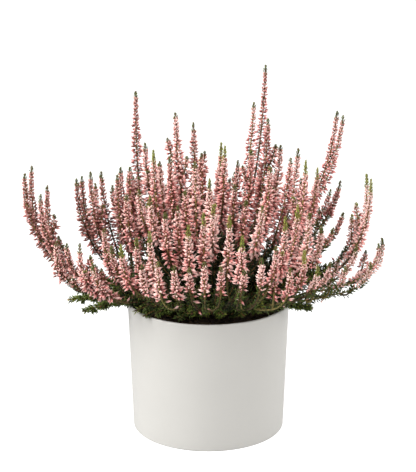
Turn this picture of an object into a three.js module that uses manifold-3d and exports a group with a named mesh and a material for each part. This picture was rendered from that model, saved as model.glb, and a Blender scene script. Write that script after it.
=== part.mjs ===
// A heather in bloom in a plain white pot: a tapered pot, the soil that fills it, one woody shrub of
// leafy twigs that stands in the soil, and the flower sprays that sit on the twigs' ends.
// Lengths are in millimetres, +Z is up, and the origin is the centre of the pot's flat base.

import * as THREE from "three";
import { mergeVertices } from "three/addons/utils/BufferGeometryUtils.js";
import Module from "manifold-3d";

const wasm = await Module();
wasm.setup();

// ---------------------------------------------------------------- driving dimensions

const GAP = 0.3; // between two pieces that rest on each other
const GOLDEN_ANGLE = THREE.MathUtils.degToRad(137.5);

const POT = {
  rimRadius: 70,
  baseRadius: 66,
  height: 114,
  wall: 3,
  floor: 4,
  lipRound: 1.5, // half of the wall, so the lip is a half round
  footChamfer: 1.2,
  sides: 40,
};

const SOIL = {
  belowRim: 9, // how far its edge lies below the lip
  dish: 2, // and its middle below its edge
  crumb: 1.1, // height of the crumbs on its surface
  rings: 4,
  sides: 22,
};
const SOIL_EDGE = POT.height - SOIL.belowRim;
const SOIL_MIDDLE = SOIL_EDGE - SOIL.dish;

// The shrub's crown is the short stump that its limbs spring from.
const CROWN = { radius: 8, neck: 6.5, buried: 22, height: 8, sides: 7 };
const CROWN_TOP = SOIL_MIDDLE + CROWN.height;

// A limb reaches this far out from the crown and this far up.
const LIMB_RINGS = [
  { count: 10, out: 26, up: 8, start: 18 },
  { count: 6, out: 16, up: 26, start: 0 },
  { count: 1, out: 1, up: 34, start: 90 },
];
const LIMB = { foot: 3, end: 1.5, steps: 3, rooted: 5 };

// The line from the crown to a tip is a curve with two handles. Each lies so far out, as a share of
// the tip's reach, and so far up, as a share of its height, for a straight line and a bowed one.
// A bowed line passes low over the rim and then turns up.
const HABIT = {
  straight: { out: [0.45, 0.85], up: [0.34, 0.6] },
  bowed: { out: [0.66, 1.06], up: [0.1, 0.04] },
  clearOfRim: [16, 6], // the least that each handle lies above the crown
};

const BLOOM = {
  core: 2, // radius of the solid middle that the florets stand on
  reach: 6.1, // from the spike's axis to a floret's tip
  spacing: 3.2, // from each floret to the next
  greenTip: 10, // the leafy tip above the florets
  share: { straight: 0.66, bowed: 0.52 }, // of the way from crown to tip that carries florets
  longest: 122,
  fork: 0.05, // how far up the leading spike the others leave it
};

const TWIG = {
  core: 1,
  bareFoot: 0.15,
  leavesLimb: 0.94, // where the outermost twig of a limb leaves it, as a share of the limb
  spacing: 0.11, // from each twig to the next one in
};
const LEAF = { reach: 4.4, spacing: 5.5, lift: 2.6, tip: 5 };
const SHOOT = { aboveRim: 5.5, bend: 0.72 }; // a shoot bends down past this share of its reach

// ---------------------------------------------------------------- where the sprays end

// Each row is one spray: how bowed its line is, from 0 to 1, and the tips of its spikes as
// [x, y, z], the leading spike first. -Y is the front.
const SPRAYS = [
  // left side
  { bow: 1, tips: [[-151, 14, 229], [-155, -2, 226]] },
  { bow: 1, tips: [[-135, -12, 218], [-139, -27, 214]] },
  { bow: 0.75, tips: [[-108, 10, 221], [-111, -8, 223]] },
  { bow: 0.75, tips: [[-99, -8, 229], [-91, 6, 226]] },
  { bow: 0.9, tips: [[-126, -36, 176], [-116, -50, 178]] },
  { bow: 0.9, tips: [[-104, -64, 182], [-93, -76, 169]] },
  { bow: 0.85, tips: [[-75, 14, 228], [-77, -3, 225]] },
  { bow: 0.85, tips: [[-66, -4, 232], [-68, -24, 213]] },
  { bow: 0.9, tips: [[-62, 28, 291], [-71, 46, 213]] },
  { bow: 0.8, tips: [[-86, -36, 187], [-79, -54, 177]] },
  { bow: 0.8, tips: [[-58, -66, 187], [-70, -76, 184], [-47, -76, 195]] },
  // middle
  { bow: 0.5, tips: [[-54, 14, 249], [-58, -20, 216]] },
  { bow: 0.6, tips: [[-46, -10, 248], [-48, -36, 215]] },
  { bow: 0.5, tips: [[-32, -22, 245], [-41, 0, 236]] },
  { bow: 0.3, tips: [[-28, 20, 274], [-25, 44, 228]] },
  { bow: 0.2, tips: [[-13, 34, 263], [-6, 10, 241]] },
  { bow: 0.5, tips: [[-11, -26, 241], [-19, -42, 221]] },
  { bow: 0.3, tips: [[11, 20, 248], [14, -3, 250]] },
  { bow: 0.6, tips: [[1, -38, 230], [4, -56, 212]] },
  { bow: 0.5, tips: [[22, -12, 219]] },
  { bow: 0.5, tips: [[36, -8, 247], [31, -34, 211]] },
  { bow: 0.35, tips: [[48, 12, 316], [39, 26, 282]] },
  { bow: 0.5, tips: [[52, 46, 264], [60, 60, 217]] },
  { bow: 0.5, tips: [[62, 24, 245]] },
  { bow: 0.5, tips: [[51, -28, 238], [44, -50, 210]] },
  { bow: 0.5, tips: [[76, 6, 246], [69, -10, 241]] },
  // right side
  { bow: 0.7, tips: [[81, -18, 241], [92, -2, 231]] },
  { bow: 0.35, tips: [[111, 34, 273], [118, 52, 266]] },
  { bow: 0.3, tips: [[116, 40, 210], [109, 58, 198]] },
  { bow: 0.3, tips: [[115, -2, 192], [105, -22, 184]] },
  { bow: 1, tips: [[135, 10, 223], [137, -6, 222]] },
  { bow: 0.7, tips: [[130, 26, 182]] },
  { bow: 1, tips: [[149, 4, 168], [144, -14, 168]] },
  { bow: 0.8, tips: [[135, -36, 158], [124, -28, 170]] },
  { bow: 0.75, tips: [[112, -58, 161], [99, -66, 167]] },
  { bow: 0.8, tips: [[82, -56, 205], [93, -44, 191]] },
  // front
  { bow: 0.8, tips: [[62, -64, 204], [73, -48, 210]] },
  { bow: 0.9, tips: [[77, -74, 179], [88, -76, 168]] },
  { bow: 0.8, tips: [[27, -84, 194], [17, -70, 207]] },
  { bow: 0.7, tips: [[-16, -74, 200], [-4, -66, 208]] },
  { bow: 0.7, tips: [[-25, -50, 210], [-35, -58, 206]] },
  { bow: 0.9, tips: [[-40, -90, 174], [-53, -84, 170], [-27, -94, 172]] },
  { bow: 0.9, tips: [[-3, -98, 176], [-15, -94, 170], [10, -100, 173]] },
  { bow: 0.9, tips: [[42, -94, 178], [54, -84, 185], [28, -96, 169]] },
  { bow: 0.9, tips: [[65, -90, 169]] },
  // back
  { bow: 0.8, tips: [[-100, 52, 205], [-86, 66, 200]] },
  { bow: 0.7, tips: [[-68, 76, 206], [-52, 88, 198]] },
  { bow: 0.7, tips: [[-30, 84, 212], [-14, 96, 204]] },
  { bow: 0.7, tips: [[10, 90, 212], [24, 102, 204]] },
  { bow: 0.7, tips: [[46, 86, 210], [62, 96, 202]] },
  { bow: 0.8, tips: [[84, 78, 204], [98, 88, 196]] },
  { bow: 0.9, tips: [[-70, 112, 178], [-84, 102, 172], [-52, 120, 174]] },
  { bow: 0.9, tips: [[-20, 128, 182], [-36, 124, 176], [-2, 134, 176]] },
  { bow: 0.9, tips: [[34, 126, 182], [16, 132, 174], [52, 122, 176]] },
  { bow: 0.9, tips: [[88, 106, 178], [72, 114, 172], [102, 96, 172]] },
  { bow: 0.4, tips: [[-44, 54, 222], [-34, 38, 226]] },
  { bow: 0.4, tips: [[10, 58, 224], [26, 50, 226], [-6, 62, 220]] },
];

// Tips of the low leafy shoots, which carry no flowers.
const SHOOT_TIPS = [
  [-108, -20, 109],
  [-122, -6, 115],
  [-112, 44, 118],
  [-78, 70, 118],
  [26, 104, 118],
  [112, 46, 120],
  [88, -37, 117],
  [44, -52, 121],
  [12, -62, 121],
  [-14, -62, 121],
  [-40, -54, 121],
];

// ---------------------------------------------------------------- helpers

const mix = THREE.MathUtils.lerp;

// A repeatable stream of numbers from 0 to 1.
function draws(seed) {
  let state = seed;
  return () => {
    state = (state * 16807) % 2147483647;
    return state / 2147483647;
  };
}

const point = (place) => new THREE.Vector3(...place);

function withoutShading(geometry) {
  geometry.deleteAttribute("normal");
  geometry.deleteAttribute("uv");
  return geometry;
}

// A geometry as a manifold-3d solid, its shared vertices merged.
function solidOf(geometry) {
  const merged = mergeVertices(withoutShading(geometry.clone()), 1e-4);
  return new wasm.Manifold(
    new wasm.Mesh({
      numProp: 3,
      vertProperties: new Float32Array(merged.attributes.position.array),
      triVerts: new Uint32Array(merged.index.array),
    }),
  );
}

// A manifold-3d solid as a geometry.
function geometryOf(solid) {
  const mesh = solid.getMesh();
  return new THREE.BufferGeometry()
    .setAttribute("position", new THREE.BufferAttribute(mesh.vertProperties, 3))
    .setIndex(new THREE.BufferAttribute(mesh.triVerts, 1));
}

// Solids that grow together, as one. A hollow that they seal is filled and a loose scrap dropped.
function fused(solids) {
  const shells = wasm.Manifold.union(solids).decompose();
  return shells.reduce((best, shell) => (shell.volume() > best.volume() ? shell : best));
}

// The stretch of a curve between two shares of its length, as a curve of its own.
function stretchOf(curve, from, to) {
  const steps = 12;
  const points = [];
  for (let i = 0; i <= steps; i++) points.push(curve.getPointAt(mix(from, to, i / steps)));
  return new THREE.CatmullRomCurve3(points);
}

// The least distance from a place to a list of points.
function distanceTo(points, place) {
  return Math.min(...points.map((p) => p.distanceTo(place)));
}

// ---------------------------------------------------------------- studded tubes

// Rings spaced evenly along a curve, each with its centre, its direction and two axes across it.
function ringsAlong(curve, count) {
  const rings = [];
  const start = curve.getTangentAt(0);
  let side = Math.abs(start.x) > 0.7 ? new THREE.Vector3(0, 1, 0) : new THREE.Vector3(1, 0, 0);
  for (let k = 0; k <= count; k++) {
    const along = curve.getTangentAt(k / count);
    side = side.clone().addScaledVector(along, -side.dot(along)).normalize();
    const across = new THREE.Vector3().crossVectors(along, side);
    rings.push({ centre: curve.getPointAt(k / count), along, side, across });
  }
  return rings;
}

function onRing(ring, angle, radius) {
  return ring.centre
    .clone()
    .addScaledVector(ring.side, radius * Math.cos(angle))
    .addScaledVector(ring.across, radius * Math.sin(angle));
}

const middleOf = (places) =>
  places.reduce((sum, place) => sum.add(place), new THREE.Vector3()).divideScalar(places.length);

// A closed tube with a pointed end. Its corners climb around the curve, one to a step and each a
// golden angle on from the last, as leaves climb a stem, with two triangles to a step between them.
// studAt(share, number) says how far out, and how far along, the triangle of that number, at that
// share of the tube's length, is raised into a stud, or gives null where it stays flat.
function studdedTube(curve, steps, radiusAt, studAt, tip) {
  const points = [];
  const faces = [];
  const add = (place) => points.push(place) - 1;
  const rings = ringsAlong(curve, steps);
  const last = steps + 4; // three corners lie on the first ring, and three on the last
  const ringOf = (i) => THREE.MathUtils.clamp(i - 2, 0, steps);
  for (let i = 0; i <= last; i++) {
    const ring = ringOf(i);
    add(onRing(rings[ring], i * GOLDEN_ANGLE, radiusAt(ring / steps)));
  }
  const addTriangle = (number, ...corners) => {
    const share = corners.reduce((sum, i) => sum + ringOf(i), 0) / (3 * steps);
    const stud = studAt(share, number);
    if (!stud) {
      faces.push(corners);
      return;
    }
    const axis = middleOf(corners.map((i) => rings[ringOf(i)].centre));
    const along = curve.getTangentAt(share);
    const outward = middleOf(corners.map((i) => points[i])).sub(axis);
    outward.addScaledVector(along, -outward.dot(along)).normalize();
    const peak = add(axis.addScaledVector(outward, stud.reach).addScaledVector(along, stud.lift));
    const [a, b, c] = corners;
    faces.push([a, b, peak], [b, c, peak], [c, a, peak]);
  };
  for (let i = 0; i + 3 <= last; i++) {
    addTriangle(2 * i, i, i + 1, i + 3);
    addTriangle(2 * i + 1, i, i + 3, i + 2);
  }
  const end = add(rings[steps].centre.clone().addScaledVector(rings[steps].along, tip));
  faces.push([last - 2, last - 1, end], [last - 1, last, end], [last, last - 2, end], [0, 2, 1]);
  const numbers = points.flatMap((place) => place.toArray());
  return new THREE.BufferGeometry()
    .setAttribute("position", new THREE.Float32BufferAttribute(numbers, 3))
    .setIndex(faces.flat());
}

// ---------------------------------------------------------------- the pot and its soil

const outerRadiusAt = (z) => mix(POT.baseRadius, POT.rimRadius, z / POT.height);
const innerRadiusAt = (z) => outerRadiusAt(z) - POT.wall;

function turned(profile, sides) {
  const points = profile.map(([r, z]) => new THREE.Vector2(r, z));
  return new THREE.LatheGeometry(points, sides).rotateX(Math.PI / 2);
}

function potGeometry() {
  const { height, floor, wall, lipRound, footChamfer, sides } = POT;
  const lipMiddle = height - lipRound;
  const lipCentre = outerRadiusAt(lipMiddle) - lipRound;
  const lip = [0, 60, 120, 180].map((degrees) => {
    const angle = THREE.MathUtils.degToRad(degrees);
    return [lipCentre + lipRound * Math.cos(angle), lipMiddle + lipRound * Math.sin(angle)];
  });
  const profile = [
    [0, 0],
    [outerRadiusAt(0) - footChamfer, 0],
    [outerRadiusAt(footChamfer), footChamfer],
    ...lip,
    [innerRadiusAt(floor + wall), floor + wall],
    [innerRadiusAt(floor) - wall, floor],
    [0, floor],
  ];
  return turned(profile, sides);
}

// The soil is a plug in the pot with a dished, crumbly top and a plain hole for the crown.
function soilGeometry() {
  const { wall, floor } = POT;
  const bottom = floor + GAP;
  const clear = 2 * GAP;
  const edge = innerRadiusAt(SOIL_EDGE) - clear;
  const profile = [
    [0, bottom],
    [innerRadiusAt(bottom) - wall - clear, bottom],
    [innerRadiusAt(bottom + wall) - clear, bottom + wall],
  ];
  for (let ring = 0; ring <= SOIL.rings; ring++) {
    const share = 1 - ring / SOIL.rings;
    profile.push([edge * share, mix(SOIL_MIDDLE, SOIL_EDGE, share * share)]);
  }
  const plug = mergeVertices(withoutShading(turned(profile, SOIL.sides)), 1e-4);
  const corners = plug.attributes.position;
  const draw = draws(71);
  for (let i = 0; i < corners.count; i++) {
    const fromAxis = Math.hypot(corners.getX(i), corners.getY(i));
    const isTop = corners.getZ(i) > SOIL_MIDDLE - 1 && fromAxis < edge - 1;
    if (isTop) corners.setZ(i, corners.getZ(i) + SOIL.crumb * (2 * draw() - 1));
  }
  const hole = new THREE.CylinderGeometry(
    CROWN.radius + GAP,
    CROWN.radius + GAP,
    2 * CROWN.buried,
    CROWN.sides,
  )
    .rotateX(Math.PI / 2)
    .translate(0, 0, SOIL_MIDDLE);
  return geometryOf(solidOf(plug).subtract(solidOf(hole)));
}

// ---------------------------------------------------------------- the lines of twigs and spikes

// The line from the crown to a tip.
function lineTo(tip, bow) {
  const end = point(tip);
  const reach = Math.hypot(end.x, end.y);
  const height = end.z - CROWN_TOP;
  const outward = new THREE.Vector3(end.x / reach, end.y / reach, 0);
  const { straight, bowed, clearOfRim } = HABIT;
  const handle = (i) => {
    const out = mix(straight.out[i], bowed.out[i], bow) * reach;
    const up = Math.max(mix(straight.up[i], bowed.up[i], bow) * height, clearOfRim[i]);
    return outward.clone().multiplyScalar(out).setZ(CROWN_TOP + up);
  };
  return new THREE.CubicBezierCurve3(point([0, 0, CROWN_TOP]), handle(0), handle(1), end);
}

// A twig's line: it leaves its limb and arrives at its seat in a given direction.
function twigLine(seat, direction) {
  const { start, heading } = leaveLimb(seat);
  const length = start.distanceTo(seat) / 3;
  return new THREE.CubicBezierCurve3(
    start,
    start.clone().addScaledVector(heading, length),
    seat.clone().addScaledVector(direction, -length),
    seat,
  );
}

// A side spike's line: it leaves the leading spike near its foot, swings clear of it and runs up
// beside it to its own tip.
function sideLine(lead, tip) {
  const end = point(tip);
  const start = lead.getPointAt(BLOOM.fork);
  const along = lead.getTangentAt(1);
  const length = start.distanceTo(end);
  const beside = end.clone().sub(lead.getPointAt(1));
  beside.addScaledVector(along, -beside.dot(along));
  return new THREE.CubicBezierCurve3(
    start,
    start.clone().add(beside).addScaledVector(lead.getTangentAt(BLOOM.fork), 0.12 * length),
    end.clone().addScaledVector(along, -0.5 * length),
    end,
  );
}

// A low shoot's line: it arches over the rim and ends at its tip.
function shootLine(tip) {
  const end = point(tip);
  const { start, heading } = leaveLimb(end);
  const bend = end.clone().multiplyScalar(SHOOT.bend);
  bend.setZ(Math.max(end.z, POT.height + SHOOT.aboveRim));
  const first = start.clone().addScaledVector(heading, start.distanceTo(end) / 3);
  return new THREE.CubicBezierCurve3(start, first, bend, end);
}

function limbLine(out, up, angle) {
  const outward = new THREE.Vector3(Math.cos(angle), Math.sin(angle), 0);
  const at = (shareOut, z) => outward.clone().multiplyScalar(shareOut * out).setZ(z);
  return new THREE.QuadraticBezierCurve3(
    at(0, CROWN_TOP - LIMB.rooted),
    at(0.4, CROWN_TOP + 0.4 * up),
    at(1, CROWN_TOP + up),
  );
}

const limbs = LIMB_RINGS.flatMap(({ count, out, up, start }) =>
  Array.from({ length: count }, (_, i) =>
    limbLine(out, up, THREE.MathUtils.degToRad(start + (360 * i) / count)),
  ),
);
const twigsOn = new Map(limbs.map((limb) => [limb, 0]));

// Where the next twig towards a place leaves the limb that ends nearest to it, and its heading:
// halfway between the limb's own direction and the way to the place.
function leaveLimb(place) {
  const gapTo = (limb) => limb.getPointAt(1).distanceTo(place);
  const limb = limbs.reduce((best, other) => (gapTo(other) < gapTo(best) ? other : best));
  const share = TWIG.leavesLimb - TWIG.spacing * twigsOn.get(limb);
  twigsOn.set(limb, twigsOn.get(limb) + 1);
  const start = limb.getPointAt(share);
  const heading = place.clone().sub(start).normalize().add(limb.getTangentAt(share)).normalize();
  return { start, heading };
}

// A spray sits on the end of its twig, where the florets on its leading spike begin.
const sprays = SPRAYS.map(({ bow, tips }) => {
  const whole = lineTo(tips[0], bow);
  const length = whole.getLength();
  const share = mix(BLOOM.share.straight, BLOOM.share.bowed, bow);
  const foot = 1 - Math.min(share * length, BLOOM.longest) / length;
  const lead = stretchOf(whole, foot + GAP / length, 1);
  const seat = whole.getPointAt(foot);
  return {
    twig: twigLine(seat, whole.getTangentAt(foot)),
    spikes: [lead, ...tips.slice(1).map((tip) => sideLine(lead, tip))],
  };
});

const shoots = SHOOT_TIPS.map(shootLine);
const twigs = [...sprays.map(({ twig }) => twig), ...shoots];

// ---------------------------------------------------------------- room for florets and leaves

// Points along every spike and twig, each list marked with the spray or twig that it belongs to.
const crowd = [
  ...sprays.flatMap(({ spikes }, i) =>
    spikes.map((line) => ({ owner: i, points: line.getSpacedPoints(24) })),
  ),
  ...twigs.map((line) => ({ owner: line, points: line.getSpacedPoints(16) })),
];

// A floret or leaf reaches no more than halfway to the next spray or twig.
function roomAt(place, owner) {
  const others = crowd.filter((line) => line.owner !== owner);
  const nearest = Math.min(...others.map(({ points }) => distanceTo(points, place)));
  return nearest / 2 - 2 * GAP;
}

const stepsOf = (length, step) => Math.max(3, Math.round(length / step));

// ---------------------------------------------------------------- flower sprays

// Florets droop at the foot of a spike and point up near its tip, where they are also shorter.
const floretLift = (share) => mix(-1.2, 2.2, share);
const floretSize = (share) => Math.min(1, 0.8 + share) * Math.min(1, 0.55 + 1.5 * (1 - share));

function spikeSolid(line, owner, draw, lead) {
  const length = line.getLength();
  const flowered = stretchOf(line, 0, 1 - BLOOM.greenTip / length);
  const steps = stepsOf(length - BLOOM.greenTip, 2 * BLOOM.spacing); // every triangle is a floret
  const leadPoints = lead?.getSpacedPoints(40);
  const radiusAt = (share) => BLOOM.core * Math.min(1, 0.85 + 0.6 * (1 - share));
  const studAt = (share) => {
    const place = flowered.getPointAt(share);
    const besideLead = lead ? distanceTo(leadPoints, place) - BLOOM.reach : Infinity;
    const wanted = BLOOM.reach * floretSize(share) * mix(0.92, 1.08, draw());
    const reach = Math.min(wanted, roomAt(place, owner), besideLead);
    const lift = floretLift(share) + mix(-0.6, 0.6, draw());
    return reach > radiusAt(share) ? { reach, lift } : null;
  };
  return solidOf(studdedTube(flowered, steps, radiusAt, studAt, BLOOM.greenTip));
}

function sprayGeometry({ spikes }, index) {
  const draw = draws(1000 + 37 * index);
  const [lead, ...sides] = spikes;
  const solids = [spikeSolid(lead, index, draw)];
  for (const side of sides) solids.push(spikeSolid(side, index, draw, lead));
  return geometryOf(fused(solids));
}

// ---------------------------------------------------------------- the shrub

function leafyTwig(line, draw, tip) {
  const length = line.getLength();
  const stem = stretchOf(line, 0, 1 - tip / length);
  const steps = stepsOf(length - tip, LEAF.spacing); // every second triangle is a leaf
  const studAt = (share, number) => {
    const wanted = LEAF.reach * mix(0.85, 1.15, draw());
    const reach = Math.min(wanted, roomAt(stem.getPointAt(share), line));
    const isLeafy = number % 2 === 0 && share > TWIG.bareFoot;
    return isLeafy && reach > TWIG.core ? { reach, lift: LEAF.lift } : null;
  };
  return solidOf(studdedTube(stem, steps, () => TWIG.core, studAt, tip));
}

function limbSolid(line) {
  const radiusAt = (share) => mix(LIMB.foot, LIMB.end, share);
  return solidOf(studdedTube(line, LIMB.steps, radiusAt, () => null, LIMB.end));
}

function crownSolid() {
  const height = CROWN.buried + CROWN.height - GAP;
  const stump = new THREE.CylinderGeometry(CROWN.neck, CROWN.radius, height, CROWN.sides);
  return solidOf(stump.rotateX(Math.PI / 2).translate(0, 0, CROWN_TOP - height / 2));
}

function shrubGeometry() {
  const draw = draws(4242);
  const tipOf = (line) => (shoots.includes(line) ? LEAF.tip : 0);
  const grown = twigs.map((line) => leafyTwig(line, draw, tipOf(line)));
  return geometryOf(fused([crownSolid(), ...limbs.map(limbSolid), ...grown]));
}

// ---------------------------------------------------------------- the whole

const FINISH = {
  pot: { color: 0xe2e0da, roughness: 0.45 },
  soil: { color: 0x2b211a, roughness: 0.95 },
  shrub: { color: 0x4a5a2c, roughness: 0.7 },
  bloom: { color: 0xd99a9c, roughness: 0.6 },
};

function piece(name, geometry, { color, roughness }) {
  const material = new THREE.MeshStandardMaterial({ color, roughness, metalness: 0 });
  const mesh = new THREE.Mesh(geometry, material);
  mesh.name = name;
  return mesh;
}

const heather = new THREE.Group();
heather.add(piece("pot", potGeometry(), FINISH.pot));
heather.add(piece("soil", soilGeometry(), FINISH.soil));
heather.add(piece("leafy_shrub", shrubGeometry(), FINISH.shrub));
sprays.forEach((spray, index) => {
  const name = `flower_spray_${String(index + 1).padStart(2, "0")}`;
  heather.add(piece(name, sprayGeometry(spray, index), FINISH.bloom));
});

export default heather;
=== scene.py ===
"""A heather in bloom in a plain white pot: the fine form and finish of each of its pieces.

The heather's limbs, twigs and flower spikes follow the same lines as the solids that they stand
for. Florets and leaves are small shapes, modelled once and pressed along those lines.
Lengths are in metres, +Z is up, and the origin is the centre of the pot's flat base.
"""

import logging
import math
import random
from bisect import bisect_right
from collections.abc import Callable, Iterable, Sequence
from dataclasses import dataclass, field
from enum import Enum
from functools import cached_property

import bmesh
import bpy
import numpy as np
from mathutils import Matrix, Vector, noise


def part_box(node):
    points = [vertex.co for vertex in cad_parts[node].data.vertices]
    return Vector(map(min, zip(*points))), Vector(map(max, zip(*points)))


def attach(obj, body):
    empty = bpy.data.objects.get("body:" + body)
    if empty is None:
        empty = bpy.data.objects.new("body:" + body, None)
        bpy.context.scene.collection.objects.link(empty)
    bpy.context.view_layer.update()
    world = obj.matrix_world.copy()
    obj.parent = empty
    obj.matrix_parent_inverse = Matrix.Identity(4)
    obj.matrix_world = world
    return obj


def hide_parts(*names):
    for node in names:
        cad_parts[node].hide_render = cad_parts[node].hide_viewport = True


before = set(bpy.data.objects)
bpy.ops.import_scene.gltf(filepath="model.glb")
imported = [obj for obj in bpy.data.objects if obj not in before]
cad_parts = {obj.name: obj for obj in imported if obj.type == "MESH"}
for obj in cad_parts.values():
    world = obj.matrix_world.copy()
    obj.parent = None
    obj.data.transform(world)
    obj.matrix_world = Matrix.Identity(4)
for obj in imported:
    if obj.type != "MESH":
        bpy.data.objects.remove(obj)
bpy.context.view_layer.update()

LOG = logging.getLogger("potted_heather")
MM = 0.001
UP = Vector((0.0, 0.0, 1.0))
GOLDEN_ANGLE = math.radians(137.5)
SOIL_BELOW_LIP = 9 * MM
WHITE = (1.0, 1.0, 1.0, 1.0)

Colour = tuple[float, float, float, float]
Value = float | Sequence[float] | bpy.types.NodeSocket


class Slot(Enum):
    """The finishes that the part's record names."""

    POT = "pot"
    SOIL = "soil"
    SHRUB = "shrub"
    BLOOM = "bloom"


def mix(low: float, high: float, share: float) -> float:
    """The value that lies a share of the way from low to high."""
    return low + (high - low) * share


def clamp(value: float, high: float = 1.0) -> float:
    """The value, kept between 0 and a highest one."""
    return min(high, max(0.0, value))


def shade(red: int, green: int, blue: int) -> Colour:
    """A screen colour as the linear colour that shaders use.

    Args:
        red: its red channel, from 0 to 255.
        green: its green channel.
        blue: its blue channel.

    Returns:
        The colour.
    """

    def linear(channel: int) -> float:
        """One channel without its screen gamma."""
        level = channel / 255.0
        return level / 12.92 if level <= 0.04045 else ((level + 0.055) / 1.055) ** 2.4

    return (linear(red), linear(green), linear(blue), 1.0)


# ------------------------------------------------------------------ lines that the plant follows


class Line:
    """A smooth run through space, whose places are given by their share of its length."""

    def __init__(self, points: Sequence[Vector]) -> None:
        """Keep the points and how much length lies before each of them.

        Args:
            points: places along the line, close together.
        """
        self.points = list(points)
        self.reached = [0.0]
        for before, after in zip(self.points, self.points[1:]):
            self.reached.append(self.reached[-1] + (after - before).length)

    @classmethod
    def bezier(cls, handles: Sequence[Vector], steps: int = 48) -> "Line":
        """The curve that a row of handles gives, by halving between them.

        Args:
            handles: the start, the handles and the end.
            steps: how many straight steps stand for the curve.

        Returns:
            The line.
        """
        points = []
        for step in range(steps + 1):
            row = list(handles)
            while len(row) > 1:
                row = [a.lerp(b, step / steps) for a, b in zip(row, row[1:])]
            points.append(row[0])
        return cls(points)

    @property
    def length(self) -> float:
        """The line's whole length."""
        return self.reached[-1]

    def at(self, share: float) -> Vector:
        """The place at a share of the line's length.

        Args:
            share: the share.

        Returns:
            The place.
        """
        target = min(max(share, 0.0), 1.0) * self.length
        i = min(bisect_right(self.reached, target), len(self.points) - 1)
        before, after = self.reached[i - 1], self.reached[i]
        return self.points[i - 1].lerp(self.points[i], (target - before) / (after - before))

    def heading(self, share: float) -> Vector:
        """The direction in which the line runs at a share of its length."""
        reach = 0.01
        return (self.at(share + reach) - self.at(share - reach)).normalized()

    def stretch(self, start: float, end: float, steps: int = 32) -> "Line":
        """The stretch between two shares of the length, as a line of its own."""
        return Line([self.at(mix(start, end, i / steps)) for i in range(steps + 1)])

    def frames(self, shares: Iterable[float]) -> list[Matrix]:
        """Turned places along the line, +Z along it and none twisted from the one before.

        Args:
            shares: the shares of the length at which they lie, from the lowest up.

        Returns:
            One matrix for each share.
        """
        turn = UP.rotation_difference(self.heading(0.0))
        matrices = []
        for share in shares:
            turn = (turn @ UP).rotation_difference(self.heading(share)) @ turn
            matrices.append(Matrix.Translation(self.at(share)) @ turn.to_matrix().to_4x4())
        return matrices


@dataclass(frozen=True)
class SprayPlan:
    """Where one spray grows, and how it is dressed.

    Attributes:
        bow: how its line to the crown runs, from 0, straight, to 1, low over the rim and then up.
        tips: the tips of its spikes in millimetres, the leading one's first.
        fade_and_shade: how dull and dark its florets are, from 0 to 1: partly faded colour, partly
            painted shade on the sprays that lie deeper in the plant. Below 0 they are paler than on
            most sprays.
        green: how green its tips are, from 0 to 1.
        leafy: the height in millimetres below which leaves take the florets' place.
        bushy: how many short spikes stand on the leading one.
        full: the size of its florets.
    """

    bow: float
    tips: tuple[tuple[float, float, float], ...]
    fade_and_shade: float = 0.0
    green: float = 0.2
    leafy: float = 153.0
    bushy: int = 1
    full: float = 1.0


@dataclass(frozen=True)
class LimbRing:
    """A ring of limbs around the crown, in millimetres and degrees.

    Attributes:
        count: how many limbs it has.
        out: how far out they reach.
        up: how far up they reach.
        start: the direction of the first of them.
    """

    count: int
    out: float
    up: float
    start: float


# The dullness given to each spray below is partly faded colour and partly painted shade: the middle
# and back sprays, deeper in the plant, are darker.
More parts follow.
